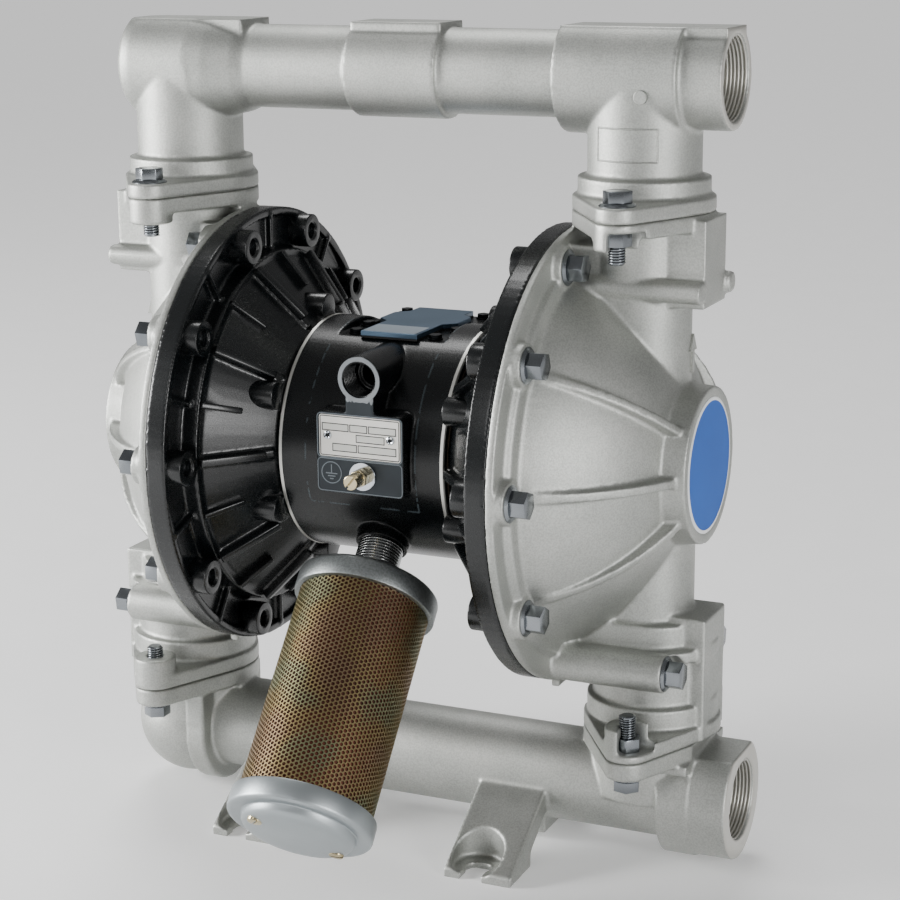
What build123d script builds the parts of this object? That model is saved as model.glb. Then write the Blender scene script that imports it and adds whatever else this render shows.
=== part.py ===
from build123d import *
from math import cos, radians, sin, sqrt
import os

# Air operated double diaphragm pump, millimetres. +X runs along the diaphragm shaft
# towards the ported side, -Y faces the air inlet and the muffler, +Z is up.
# The origin is on the floor, below the middle of the shaft.

# Driving sizes of the whole pump
shaft_height = 245.0
housing_radius = 71.3
housing_half_length = 53.5
air_cover_depth = 52.5
rim_radius = 135.0
cover_bolt_count = 10
inlet_pipe_z = 42.3
inlet_joint_z = 82.0
outlet_joint_rise = 146.3
outlet_pipe_rise = 75.0

# Places that follow from them, alike on both sides
cover_joint_x = housing_half_length + air_cover_depth
bolt_circle_radius = rim_radius - 12.5
outlet_port_x = cover_joint_x + 42.0
inlet_port_x = cover_joint_x + 51.5
outlet_joint_z = shaft_height + outlet_joint_rise
outlet_pipe_z = outlet_joint_z + outlet_pipe_rise

# Clearances
running_clearance = 0.05
seat_clearance = 0.3
hole_clearance = 0.4

# Pipe threads, taken as plain bores at their nominal size
port_thread_radius = 24.15
port_thread_length = 24.0
air_inlet_thread_radius = 10.65
air_inlet_thread_length = 20.0
nipple_radius = 13.35

os.makedirs("parts", exist_ok=True)

shaft_plane = Plane(origin=(0, 0, shaft_height), x_dir=(1, 0, 0), z_dir=(0, -1, 0))
shaft_axis = Axis((0, 0, shaft_height), (1, 0, 0))


def across(x):
    """Plane across the shaft at x, facing +X, with +Y as its own x direction."""
    return Plane(origin=(x, 0, shaft_height), x_dir=(0, 1, 0), z_dir=(1, 0, 0))


def level(z, x=0.0, y=0.0):
    """Level plane at height z, centred on x and y."""
    return Plane(origin=(x, y, z), x_dir=(1, 0, 0), z_dir=(0, 0, 1))


def radial(angle):
    """Plane through the shaft axis, with y pointing outwards at an angle above the front."""
    return Plane(
        origin=(0, 0, shaft_height),
        x_dir=(1, 0, 0),
        z_dir=(0, -sin(radians(angle)), -cos(radians(angle))),
    )


def bar(x0, x1, z, radius, mode=Mode.ADD, y=0.0):
    """Round bar along X, from x0 to x1 at height z."""
    with Locations(Location((x0, y, z), (0, 90, 0))):
        Cylinder(radius, x1 - x0, align=(Align.CENTER, Align.CENTER, Align.MIN), mode=mode)


def post(x, z0, z1, radius, mode=Mode.ADD):
    """Upright round post at x, from height z0 to z1."""
    with Locations((x, 0, z0)):
        Cylinder(radius, z1 - z0, align=(Align.CENTER, Align.CENTER, Align.MIN), mode=mode)


def slab(x0, x1, y0, y1, z0, z1, mode=Mode.ADD):
    """Rectangular block between two opposite corners."""
    with Locations(((x0 + x1) / 2, (y0 + y1) / 2, (z0 + z1) / 2)):
        Box(x1 - x0, y1 - y0, z1 - z0, mode=mode)


def write(part, name):
    """Label a finished piece and write it to its own file."""
    part.label = name
    export_step(part, f"parts/{name}.step")


# Air covers: black dished castings between the centre housing and the diaphragms.
# The rim carries ten tapped bolt bosses, and radial ribs run down the cone to the hub.
cover_gasket = 0.5
air_cover_x0 = housing_half_length + cover_gasket
rim_x0 = cover_joint_x - 12.5
rim_wall = 5.0
rim_web_length = 22.0
rim_web_width = 3.0
pocket_floor_x = cover_joint_x - 9.0
ring_rib_radius = bolt_circle_radius - 18.0
ring_rib_width = 5.0
ring_rib_x = cover_joint_x - 19.0
long_rib_width = 5.2
fin_width = 3.0
hub_radius = housing_radius - 5.3
diaphragm_bead_radius = bolt_circle_radius - 11.5
diaphragm_thickness = 3.0
boss_radius = 9.0
boss_face_x = cover_joint_x - 21.0
cover_bolt_radius = 4.7
cover_bolt_pitch = 360.0 / cover_bolt_count
hub_boss_radius = 9.5
hub_boss_x = air_cover_x0 + 19.0
hub_bolt_count = 6
air_cavity_x0 = air_cover_x0 + 12.0
air_cavity_radius = hub_radius - 6.0
shaft_radius = 12.7
bushing_wall = 4.0
trip_rod_y = 30.0
trip_rod_radius = 4.0
trip_bushing_wall = 2.0
boss_angles = [index * cover_bolt_pitch for index in range(cover_bolt_count)]

with BuildPart() as air_cover_casting:
    with BuildSketch(shaft_plane):
        with BuildLine():
            Polyline(
                (air_cover_x0, 0),
                (air_cover_x0, hub_radius),
                (ring_rib_x, ring_rib_radius),
                (ring_rib_x, ring_rib_radius + ring_rib_width),
                (pocket_floor_x, ring_rib_radius + ring_rib_width + 1),
                (pocket_floor_x, rim_radius - rim_wall),
                (rim_x0, rim_radius - rim_wall),
                (rim_x0, rim_radius),
                (cover_joint_x, rim_radius),
                (cover_joint_x, 0),
                close=True,
            )
        make_face()
    revolve(axis=shaft_axis)
    # Bosses that take the cover bolts, and webs across the rim pocket between them
    with BuildSketch(across(boss_face_x)):
        with PolarLocations(bolt_circle_radius, cover_bolt_count):
            Circle(boss_radius)
    extrude(amount=pocket_floor_x + 1 - boss_face_x)
    with BuildSketch(across(rim_x0 - 1)):
        with PolarLocations(bolt_circle_radius - 2, cover_bolt_count, cover_bolt_pitch / 2):
            Rectangle(rim_web_length, rim_web_width)
    extrude(amount=pocket_floor_x + 2 - rim_x0)
    # Hub bosses over the bolts that hold the cover to the centre housing
    with BuildSketch(across(air_cover_x0)):
        with PolarLocations(hub_radius, hub_bolt_count, start_angle=180 / hub_bolt_count):
            Circle(hub_boss_radius)
    extrude(amount=hub_boss_x - air_cover_x0)
    # Long ribs in line with the bosses, short fins between them
    with BuildSketch(*[radial(angle) for angle in boss_angles]):
        with BuildLine():
            Polyline(
                (air_cover_x0 + 8, hub_radius - 3),
                (air_cover_x0 + 2, hub_radius + 6),
                (ring_rib_x - 4, ring_rib_radius + 0.5),
                (ring_rib_x + 6, ring_rib_radius + 2),
                close=True,
            )
        make_face()
    extrude(amount=long_rib_width / 2, both=True)
    with BuildSketch(*[radial(angle + cover_bolt_pitch / 2) for angle in boss_angles]):
        with BuildLine():
            Polyline(
                (ring_rib_x - 17, ring_rib_radius - 22),
                (ring_rib_x, ring_rib_radius + 1),
                (ring_rib_x + 6, ring_rib_radius - 5),
                close=True,
            )
        make_face()
    extrude(amount=fin_width / 2, both=True)
    # Air chamber behind the diaphragm, with a recess for the diaphragm's bead
    with BuildSketch(shaft_plane):
        with BuildLine():
            Polyline(
                (air_cavity_x0, 0),
                (air_cavity_x0, air_cavity_radius),
                (cover_joint_x - diaphragm_thickness, ring_rib_radius - 3),
                (cover_joint_x - diaphragm_thickness, diaphragm_bead_radius + seat_clearance),
                (cover_joint_x, diaphragm_bead_radius + seat_clearance),
                (cover_joint_x, 0),
                close=True,
            )
        make_face()
    revolve(axis=shaft_axis, mode=Mode.SUBTRACT)
    # Holes for the shaft's bushing and the cover bolts
    bar(air_cover_x0, air_cavity_x0, shaft_height, shaft_radius + bushing_wall, Mode.SUBTRACT)
    with BuildSketch(across(boss_face_x)):
        with PolarLocations(bolt_circle_radius, cover_bolt_count):
            Circle(cover_bolt_radius + running_clearance)
    extrude(amount=cover_joint_x - boss_face_x, mode=Mode.SUBTRACT)

# The same casting goes on both sides; the trip rod's hole is bored after it is turned
for side, turn, x0 in (("right", 0, air_cover_x0), ("left", 180, -air_cavity_x0)):
    with BuildPart() as air_cover:
        add(air_cover_casting.part, rotation=(0, 0, turn))
        bore = trip_rod_radius + trip_bushing_wall
        x1 = x0 + air_cavity_x0 - air_cover_x0
        bar(x0, x1, shaft_height, bore, Mode.SUBTRACT, y=trip_rod_y)
    write(air_cover.part, f"{side}_air_cover")


# Fluid covers: cast bowls outside the diaphragms. Each holds the round hub, the duct up to
# the outlet flange, the duct down to the inlet ball chamber, and two-eared flanges.
cover_flange_x = cover_joint_x + 5.0
ring_crest_x = cover_joint_x + 10.0
hub_face_x = cover_joint_x + 84.0
hub_ring_radius = 46.0
badge_radius = 40.0
badge_thickness = 1.0
cover_wall = 6.0
dome_start = (ring_crest_x, bolt_circle_radius - 10.5)
dome_middle = (cover_joint_x + 42.5, bolt_circle_radius - 46.0)
dome_end = (hub_face_x - 14.0, hub_ring_radius + 1.0)
cover_rib_width = 5.4
cover_rib_start = (dome_start[0] - 1.0, dome_start[1] + 1.0)
cover_rib_middle = (dome_middle[0] + 2.2, dome_middle[1] + 3.2)
cover_rib_end = (hub_face_x - 4.0, hub_ring_radius - 1.0)
cover_rib_depth = 11.0
cover_boss_radius = 11.0
short_boss_x = ring_crest_x + 0.5
long_boss_x = hub_face_x - 12.0
long_boss_radius = 11.5
long_bolt_angle = 7 * cover_bolt_pitch
long_bolt_head_room = 20.0
duct_radius = 28.5
web_half_width = 19.5
outlet_shoulder_z = shaft_height + 100.0
outlet_block_x = outlet_port_x + 13.0
outlet_block_half_width = 22.5
outlet_block_top_z = outlet_joint_z - 19.3
outlet_web_x0 = outlet_port_x + 2.0
outlet_web_x1 = hub_face_x + 1.0
outlet_web_z0 = outlet_shoulder_z - 6.0
outlet_web_z1 = outlet_joint_z - 2.3
side_bar_radius = 5.0
side_bar_y = 22.0
side_bar_z = outlet_shoulder_z + 4.0
inlet_duct_x = inlet_port_x - 5.0
inlet_duct_z = inlet_joint_z + 58.0
inlet_chamber_radius = 39.0
inlet_chamber_z = inlet_joint_z + 22.0
inlet_web_x0 = inlet_duct_x - 2.5
inlet_web_x1 = hub_face_x + 5.5
inlet_web_z = inlet_joint_z + 75.0
# Steps of the inlet duct above the joint: bottom, top and half width
inlet_steps = [(18.0, 57.0, 35.0), (50.0, 57.0, 39.0), (57.0, 71.0, 32.0)]
cover_flange_height = 9.3
outlet_ear_depth = 15.3
inlet_ear_depth = 19.5
nut_across_flats = 14.3
nut_height = 8.0
outlet_nut_z = outlet_joint_z - 12.8
inlet_nut_z = inlet_joint_z + 5.0

# Two-eared flanges, alike on covers and manifolds
flange_radius = 41.0
ear_radius = 13.0
ear_bolt_radius = 4.7
ear_points = [(4.5, -57.5), (-4.5, 57.5)]

# Ball valves, alike at the inlet and the outlet
ball_radius = 22.0
ball_lift = 11.0
chamber_radius = 29.0
seat_bore_radius = 17.5
seat_outer_radius = 33.0
seat_height = 9.0
stop_radius = 15.0
stop_thickness = 12.0
flow_slot_reach = 26.0
flow_slot_width = 15.0
passage_radius = 19.0
passage_end = 30.0
ball_rise = sqrt(ball_radius**2 - seat_bore_radius**2) + running_clearance
stop_drop = sqrt(ball_radius**2 - stop_radius**2) - seat_clearance
inlet_ball_z = inlet_joint_z + ball_rise
outlet_ball_z = outlet_joint_z + ball_rise
inlet_stop_z = inlet_ball_z + ball_lift + stop_drop + 2 * seat_clearance
outlet_stop_z = outlet_ball_z + ball_lift + stop_drop + 2 * seat_clearance


def eared_flange():
    """Outline of a two-eared flange: a disc drawn out to a lug at the front and the back."""
    Circle(flange_radius)
    with Locations(*ear_points):
        Circle(ear_radius)
    make_hull()


def flow_slots():
    """Outline of a ball stop: a hole smaller than the ball, with three slots past it."""
    Circle(stop_radius)
    with PolarLocations(flow_slot_reach / 2, 3):
        Rectangle(flow_slot_reach, flow_slot_width)


with BuildPart() as right_fluid_cover:
    with BuildSketch(shaft_plane):
        with BuildLine():
            Polyline(
                dome_start,
                (ring_crest_x - 1, bolt_circle_radius - 2.5),
                (cover_flange_x, bolt_circle_radius - 0.5),
                (cover_flange_x, rim_radius),
                (cover_joint_x, rim_radius),
                (cover_joint_x, 0),
                (hub_face_x - badge_thickness, 0),
                (hub_face_x - badge_thickness, badge_radius + seat_clearance),
                (hub_face_x, badge_radius + seat_clearance),
                (hub_face_x, hub_ring_radius),
                dome_end,
            )
            ThreePointArc(dome_end, dome_middle, dome_start)
        make_face()
    revolve(axis=shaft_axis)
    # Ribs over the bowl, in line with the side bolts
    steps = (-cover_bolt_pitch, 0, cover_bolt_pitch)
    with BuildSketch(*[radial(side + step) for side in (0, 180) for step in steps]):
        with BuildLine():
            Polyline(
                cover_rib_end,
                (cover_rib_end[0], cover_rib_end[1] - cover_rib_depth),
                (cover_flange_x, cover_rib_end[1] - cover_rib_depth),
                (cover_flange_x, dome_start[1]),
                cover_rib_start,
            )
            ThreePointArc(cover_rib_start, cover_rib_middle, cover_rib_end)
        make_face()
    extrude(amount=cover_rib_width / 2, both=True)
    # Outlet duct with its block, its outer web and a round bar along each side
    post(outlet_port_x, shaft_height, outlet_joint_z, duct_radius)
    slab(cover_joint_x, outlet_port_x, -duct_radius, duct_radius, shaft_height, outlet_shoulder_z)
    half = outlet_block_half_width
    slab(cover_joint_x, outlet_block_x, -half, half, outlet_shoulder_z, outlet_block_top_z)
    half = web_half_width
    slab(outlet_web_x0, outlet_web_x1, -half, half, outlet_web_z0, outlet_web_z1)
    bar(cover_joint_x, outlet_web_x1 + 0.5, side_bar_z, side_bar_radius, y=-side_bar_y)
    bar(cover_joint_x, outlet_web_x1 + 4.0, side_bar_z, side_bar_radius, y=side_bar_y)
    # Inlet duct, stepping out to the ball chamber, and its outer web
    post(inlet_duct_x, inlet_duct_z, shaft_height, duct_radius)
    slab(cover_joint_x, inlet_duct_x, -duct_radius, duct_radius, inlet_duct_z, shaft_height)
    for bottom, top, half in inlet_steps:
        post(inlet_port_x, inlet_joint_z + bottom, inlet_joint_z + top, half)
        z0, z1 = inlet_joint_z + bottom, inlet_joint_z + top
        slab(cover_joint_x, inlet_port_x, -half, half, z0, z1)
    post(inlet_port_x, inlet_joint_z, inlet_chamber_z, inlet_chamber_radius)
    half = web_half_width
    slab(inlet_web_x0, inlet_web_x1, -half, half, inlet_joint_z, inlet_web_z)
    # Bolt bosses: short ones round the rim, and two long ones beside the inlet duct
    with BuildSketch(across(cover_joint_x + 1)):
        with PolarLocations(bolt_circle_radius, cover_bolt_count):
            Circle(cover_boss_radius)
    extrude(amount=short_boss_x - cover_joint_x - 1)
    with BuildSketch(across(cover_joint_x + 1)):
        with PolarLocations(bolt_circle_radius, 2, long_bolt_angle, 2 * cover_bolt_pitch):
            Circle(long_boss_radius)
    extrude(amount=long_boss_x - cover_joint_x - 1)
    # Two-eared flanges, with a deeper boss under each ear
    with BuildSketch(level(outlet_joint_z - cover_flange_height, outlet_port_x)):
        eared_flange()
    extrude(amount=cover_flange_height)
    with BuildSketch(level(inlet_joint_z, inlet_port_x)):
        eared_flange()
    extrude(amount=cover_flange_height)
    with BuildSketch(level(outlet_joint_z - outlet_ear_depth, outlet_port_x)):
        with Locations(*ear_points):
            Circle(ear_radius)
    extrude(amount=outlet_ear_depth)
    with BuildSketch(level(inlet_joint_z, inlet_port_x)):
        with Locations(*ear_points):
            Circle(ear_radius)
    extrude(amount=inlet_ear_depth)
    # Slots for the flange nuts, open outwards
    slot_start = 0.6 * nut_across_flats
    nut_slots = [(x + (ear_radius - slot_start) / 2 + 1, y) for x, y in ear_points]
    for slot_z, port_x in ((outlet_nut_z, outlet_port_x), (inlet_nut_z, inlet_port_x)):
        with BuildSketch(level(slot_z, port_x)):
            with Locations(*nut_slots):
                Rectangle(ear_radius + slot_start + 2, nut_across_flats + 2 * seat_clearance)
        extrude(amount=nut_height, mode=Mode.SUBTRACT)
    # Fluid chamber in the bowl
    with BuildSketch(shaft_plane):
        with BuildLine():
            Polyline(
                (cover_joint_x, dome_start[1] - 13),
                (cover_joint_x, 0),
                (dome_end[0] - cover_wall, 0),
                (dome_end[0] - cover_wall, hub_ring_radius - 8),
                (dome_middle[0] - cover_wall, dome_middle[1] - cover_wall),
                close=True,
            )
        make_face()
    revolve(axis=shaft_axis, mode=Mode.SUBTRACT)
    # Fluid passages, the inlet ball's chamber with its stop, and the outlet seat's recess
    duct_start_z = shaft_height + passage_end
    post(outlet_port_x, duct_start_z, outlet_joint_z, passage_radius, Mode.SUBTRACT)
    seat_floor_z = outlet_joint_z - seat_height
    seat_recess = seat_outer_radius + hole_clearance
    post(outlet_port_x, seat_floor_z, outlet_joint_z, seat_recess, Mode.SUBTRACT)
    post(inlet_port_x, inlet_joint_z, inlet_stop_z, chamber_radius, Mode.SUBTRACT)
    with BuildSketch(level(inlet_stop_z, inlet_port_x)):
        flow_slots()
    extrude(amount=stop_thickness, mode=Mode.SUBTRACT)
    stop_top_z = inlet_stop_z + stop_thickness
    duct_end_z = shaft_height - passage_end
    post(inlet_duct_x + 2, stop_top_z, duct_end_z, passage_radius, Mode.SUBTRACT)
    # Bolt holes, and room for the heads of the two long bolts beside the ball chamber
    with BuildSketch(across(cover_joint_x)):
        with PolarLocations(bolt_circle_radius, cover_bolt_count):
            Circle(cover_bolt_radius + hole_clearance)
    extrude(amount=long_boss_x - cover_joint_x, mode=Mode.SUBTRACT)
    with BuildSketch(across(long_boss_x)):
        with PolarLocations(bolt_circle_radius, 2, long_bolt_angle, 2 * cover_bolt_pitch):
            Circle(long_boss_radius)
    extrude(amount=long_bolt_head_room, mode=Mode.SUBTRACT)
    for joint_z, port_x, depth in (
        (outlet_joint_z, outlet_port_x, -outlet_ear_depth),
        (inlet_joint_z, inlet_port_x, inlet_ear_depth),
    ):
        with BuildSketch(level(joint_z, port_x)):
            with Locations(*ear_points):
                Circle(ear_bolt_radius + hole_clearance)
        extrude(amount=depth, mode=Mode.SUBTRACT)
write(right_fluid_cover.part, "right_fluid_cover")

with BuildPart() as left_fluid_cover:
    add(right_fluid_cover.part, rotation=(0, 0, 180))
write(left_fluid_cover.part, "left_fluid_cover")


# Hub badges: plain discs set into the hubs of the fluid covers.
with BuildPart() as right_hub_badge:
    bar(hub_face_x - badge_thickness, hub_face_x, shaft_height, badge_radius)
write(right_hub_badge.part, "right_hub_badge")

with BuildPart() as left_hub_badge:
    add(right_hub_badge.part, rotation=(0, 0, 180))
write(left_hub_badge.part, "left_hub_badge")


# Outlet manifold: the upper pipe, cast in one with its two risers. Each riser holds an
# outlet ball's chamber, and the right end carries the threaded outlet.
pad_height = 28.2
pad_z = outlet_pipe_z + pad_height
outlet_pipe_radius = 24.84
outlet_pipe_bore = 20.6
outlet_elbow_radius = 33.0
outlet_riser_radius = 32.6
outlet_collar_radius = 38.0
outlet_collar_z = outlet_joint_z + 19.7
outlet_flange_height = 9.1
outlet_sleeve_radius = 28.0
outlet_sleeve_half = 29.0
outlet_pad_half_width = 16.5
outlet_elbow_reach = 48.0
outlet_tee_reach = 45.0
outlet_port_x0 = outlet_port_x + 28.0
outlet_end_x = outlet_port_x + 52.8
outlet_port_radius = 29.2
port_flat_height = 26.2
elbow_rounding = 12.0
trim_half_width = 50.0
trim_height = 20.0

with BuildPart() as outlet_manifold:
    bar(-outlet_port_x, outlet_end_x, outlet_pipe_z, outlet_pipe_radius)
    elbow_end_x = outlet_elbow_reach - outlet_port_x
    bar(-outlet_port_x, elbow_end_x, outlet_pipe_z, outlet_elbow_radius)
    tee_start_x = outlet_port_x - outlet_tee_reach
    bar(tee_start_x, outlet_port_x0, outlet_pipe_z, outlet_elbow_radius)
    bar(outlet_port_x0, outlet_end_x, outlet_pipe_z, outlet_port_radius)
    bar(-outlet_sleeve_half, outlet_sleeve_half, outlet_pipe_z, outlet_sleeve_radius)
    half = outlet_pad_half_width
    slab(-outlet_sleeve_half, outlet_sleeve_half, -half, half, outlet_pipe_z, pad_z)
    # Left elbow, its top edge rounded over
    with BuildSketch(Plane(origin=(-outlet_port_x, 0, 0), x_dir=(1, 0, 0), z_dir=(0, -1, 0))):
        with BuildLine():
            Polyline(
                (outlet_elbow_radius, outlet_pipe_z),
                (0, outlet_pipe_z),
                (0, pad_z),
                (outlet_elbow_radius - elbow_rounding, pad_z),
            )
            RadiusArc(
                (outlet_elbow_radius - elbow_rounding, pad_z),
                (outlet_elbow_radius, pad_z - elbow_rounding),
                elbow_rounding,
            )
            Line((outlet_elbow_radius, pad_z - elbow_rounding), (outlet_elbow_radius, outlet_pipe_z))
        make_face()
    revolve(axis=Axis((-outlet_port_x, 0, 0), (0, 0, 1)))
    for port_x in (-outlet_port_x, outlet_port_x):
        post(port_x, outlet_joint_z, outlet_pipe_z, outlet_riser_radius)
        post(port_x, outlet_joint_z, outlet_collar_z, outlet_collar_radius)
        with BuildSketch(level(outlet_joint_z, port_x)):
            eared_flange()
        extrude(amount=outlet_flange_height)
    # Flat tops of the casting
    half = trim_half_width
    top_z = pad_z + trim_height
    slab(-outlet_end_x, outlet_port_x0, -half, half, pad_z, top_z, Mode.SUBTRACT)
    flat_z = outlet_pipe_z + port_flat_height
    slab(outlet_port_x0, outlet_end_x, -half, half, flat_z, top_z, Mode.SUBTRACT)
    # Ball chambers, ball stops with their flow slots, pipe bore, outlet and bolt holes
    for port_x in (-outlet_port_x, outlet_port_x):
        post(port_x, outlet_joint_z, outlet_stop_z, chamber_radius, Mode.SUBTRACT)
        with BuildSketch(level(outlet_stop_z, port_x)):
            flow_slots()
        extrude(amount=outlet_pipe_z - outlet_stop_z, mode=Mode.SUBTRACT)
        with BuildSketch(level(outlet_joint_z, port_x)):
            with Locations(*ear_points):
                Circle(ear_bolt_radius + hole_clearance)
        extrude(amount=outlet_flange_height, mode=Mode.SUBTRACT)
    bar(-outlet_port_x - stop_radius, outlet_end_x, outlet_pipe_z, outlet_pipe_bore, Mode.SUBTRACT)
    bar(
        outlet_end_x - port_thread_length,
        outlet_end_x,
        outlet_pipe_z,
        port_thread_radius,
        Mode.SUBTRACT,
    )
write(outlet_manifold.part, "outlet_manifold")


# Inlet manifold: the lower pipe, cast in one with its risers and the four feet. The right
# end carries the threaded inlet.
inlet_pipe_radius = 28.9
inlet_pipe_bore = 23.0
inlet_elbow_radius = 37.0
inlet_riser_radius = 36.0
inlet_flange_height = 11.0
inlet_ring_radius = 39.0
inlet_ring_x0 = inlet_port_x - 26.5
inlet_ring_x1 = inlet_port_x - 13.5
inlet_tee_x = inlet_port_x + 14.5
inlet_port_x0 = inlet_port_x + 33.5
inlet_end_x = inlet_port_x + 57.0
inlet_port_radius = 35.9
inlet_flat_height = 30.0
foot_x = 79.0
foot_width = 43.0
foot_tip_y = 84.0
foot_heel_y = 66.0
foot_tip_height = 5.5
foot_top = (28.9, 41.0)
foot_inner = (28.0, 25.0)
foot_slot_lean = 4.5
foot_hole_y = 72.0
foot_hole_radius = 7.5
foot_entry_width = 12.5
foot_entry_depth = 20.0
foot_web_half_length = 15.0
foot_web_half_width = 14.0
foot_web_z = 5.0
foot_web_top = 3.0
spot_face_radius = 15.5
spot_face_z = 4.5
spot_face_room = 30.0

with BuildPart() as inlet_manifold:
    bar(-inlet_port_x, inlet_end_x, inlet_pipe_z, inlet_pipe_radius)
    bar(-inlet_ring_x1, -inlet_ring_x0, inlet_pipe_z, inlet_ring_radius)
    bar(inlet_tee_x, inlet_port_x0, inlet_pipe_z, inlet_elbow_radius)
    bar(inlet_port_x0, inlet_end_x, inlet_pipe_z, inlet_port_radius)
    with Locations((-inlet_port_x - 1, 0, inlet_pipe_z)):
        Sphere(inlet_elbow_radius)
    for port_x in (-inlet_port_x, inlet_port_x):
        post(port_x, inlet_pipe_z, inlet_joint_z, inlet_riser_radius)
        with BuildSketch(level(inlet_joint_z - inlet_flange_height, port_x)):
            eared_flange()
        extrude(amount=inlet_flange_height)
    half = trim_half_width
    flat_z = inlet_pipe_z + inlet_flat_height
    slab(inlet_port_x0, inlet_end_x, -half, half, flat_z, flat_z + trim_height, Mode.SUBTRACT)
    # Feet: sloping plates at the front and back of the pipe, tied by a web below it
    for x in (-foot_x, foot_x):
        for turn in (-1, 1):
            with BuildSketch(Plane(origin=(x, 0, 0), x_dir=(0, turn, 0), z_dir=(turn, 0, 0))):
                with BuildLine():
                    Polyline(
                        (foot_heel_y, 0),
                        (foot_tip_y, 0),
                        (foot_tip_y, foot_tip_height),
                        foot_top,
                        (0, foot_top[1]),
                        (0, foot_inner[1]),
                        foot_inner,
                        close=True,
                    )
                make_face()
            extrude(amount=foot_width / 2, both=True)
        x0, x1 = x - foot_web_half_length, x + foot_web_half_length
        half = foot_web_half_width
        slab(x0, x1, -half, half, foot_web_z, inlet_pipe_z - inlet_pipe_bore + foot_web_top)
        for hole_x, hole_y, turn in (
            (x - foot_slot_lean, -foot_hole_y, -1),
            (x + foot_slot_lean, foot_hole_y, 1),
        ):
            with BuildSketch(level(spot_face_z, hole_x, hole_y)):
                Circle(spot_face_radius)
            extrude(amount=spot_face_room, mode=Mode.SUBTRACT)
            with BuildSketch(level(0.0, hole_x, hole_y)):
                Circle(foot_hole_radius)
                with Locations((0, turn * foot_entry_depth / 2)):
                    Rectangle(foot_entry_width, foot_entry_depth)
            extrude(amount=spot_face_z, mode=Mode.SUBTRACT)
    # Pipe bore, inlet, upward passages, seat recesses and bolt holes
    bar(-inlet_port_x, inlet_end_x, inlet_pipe_z, inlet_pipe_bore, Mode.SUBTRACT)
    bar(
        inlet_end_x - port_thread_length,
        inlet_end_x,
        inlet_pipe_z,
        port_thread_radius,
        Mode.SUBTRACT,
    )
    for port_x in (-inlet_port_x, inlet_port_x):
        post(port_x, inlet_pipe_z, inlet_joint_z, inlet_pipe_bore, Mode.SUBTRACT)
        post(
            port_x,
            inlet_joint_z - seat_height,
            inlet_joint_z,
            seat_outer_radius + running_clearance,
            Mode.SUBTRACT,
        )
        with BuildSketch(level(inlet_joint_z - inlet_flange_height, port_x)):
            with Locations(*ear_points):
                Circle(ear_bolt_radius + hole_clearance)
        extrude(amount=inlet_flange_height, mode=Mode.SUBTRACT)
write(inlet_manifold.part, "inlet_manifold")


# Check valves: four seat rings in the joints, each with a loose ball resting on its bore.
for name, x, joint_z, ball_z in (
    ("right_outlet", outlet_port_x, outlet_joint_z, outlet_ball_z),
    ("left_outlet", -outlet_port_x, outlet_joint_z, outlet_ball_z),
    ("right_inlet", inlet_port_x, inlet_joint_z, inlet_ball_z),
    ("left_inlet", -inlet_port_x, inlet_joint_z, inlet_ball_z),
):
    with BuildPart() as seat:
        with BuildSketch(level(joint_z - seat_height, x)):
            Circle(seat_outer_radius)
            Circle(seat_bore_radius, mode=Mode.SUBTRACT)
        extrude(amount=seat_height)
    write(seat.part, f"{name}_seat")

    with BuildPart() as ball:
        with Locations((x, 0, ball_z)):
            Sphere(ball_radius)
    write(ball.part, f"{name}_ball")


# Cover bolts: hexagon bolts through the fluid covers into the air covers' bosses.
bolt_head_height = 11.5
cover_bolt_end_x = boss_face_x + 3.0


def hexagon():
    """Outline of a bolt head or a nut."""
    RegularPolygon(nut_across_flats / 2, 6, major_radius=False)


with BuildPart() as right_cover_bolts:
    for face_x, count, first_angle in (
        (short_boss_x, cover_bolt_count - 2, -cover_bolt_pitch),
        (long_boss_x, 2, long_bolt_angle),
    ):
        spread = count * cover_bolt_pitch
        with BuildSketch(across(cover_bolt_end_x)):
            with PolarLocations(bolt_circle_radius, count, first_angle, spread):
                Circle(cover_bolt_radius)
        extrude(amount=face_x - cover_bolt_end_x)
        with BuildSketch(across(face_x)):
            with PolarLocations(bolt_circle_radius, count, first_angle, spread):
                hexagon()
        extrude(amount=bolt_head_height)
write(right_cover_bolts.part, "right_cover_bolts")

with BuildPart() as left_cover_bolts:
    add(right_cover_bolts.part, rotation=(0, 0, 180))
write(left_cover_bolts.part, "left_cover_bolts")


# Manifold bolts: two at every eared joint, each with its nut on it.
manifold_head_height = 9.3
outlet_thread_end_z = outlet_joint_z - 23.3
inlet_thread_end_z = inlet_joint_z + 26.0

with BuildPart() as manifold_bolts:
    for port_x, seat_z, end_z, nut_z, head in (
        (
            outlet_port_x,
            outlet_joint_z + outlet_flange_height,
            outlet_thread_end_z,
            outlet_nut_z,
            manifold_head_height,
        ),
        (
            inlet_port_x,
            inlet_joint_z - inlet_flange_height,
            inlet_thread_end_z,
            inlet_nut_z,
            -manifold_head_height,
        ),
    ):
        for x in (-port_x, port_x):
            with BuildSketch(level(end_z, x)):
                with Locations(*ear_points):
                    Circle(ear_bolt_radius)
            extrude(amount=seat_z - end_z)
            with BuildSketch(level(seat_z, x)):
                with Locations(*ear_points):
                    hexagon()
            extrude(amount=head)
            with BuildSketch(level(nut_z, x)):
                with Locations(*ear_points):
                    hexagon()
            extrude(amount=nut_height)
write(manifold_bolts.part, "manifold_bolts")


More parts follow.
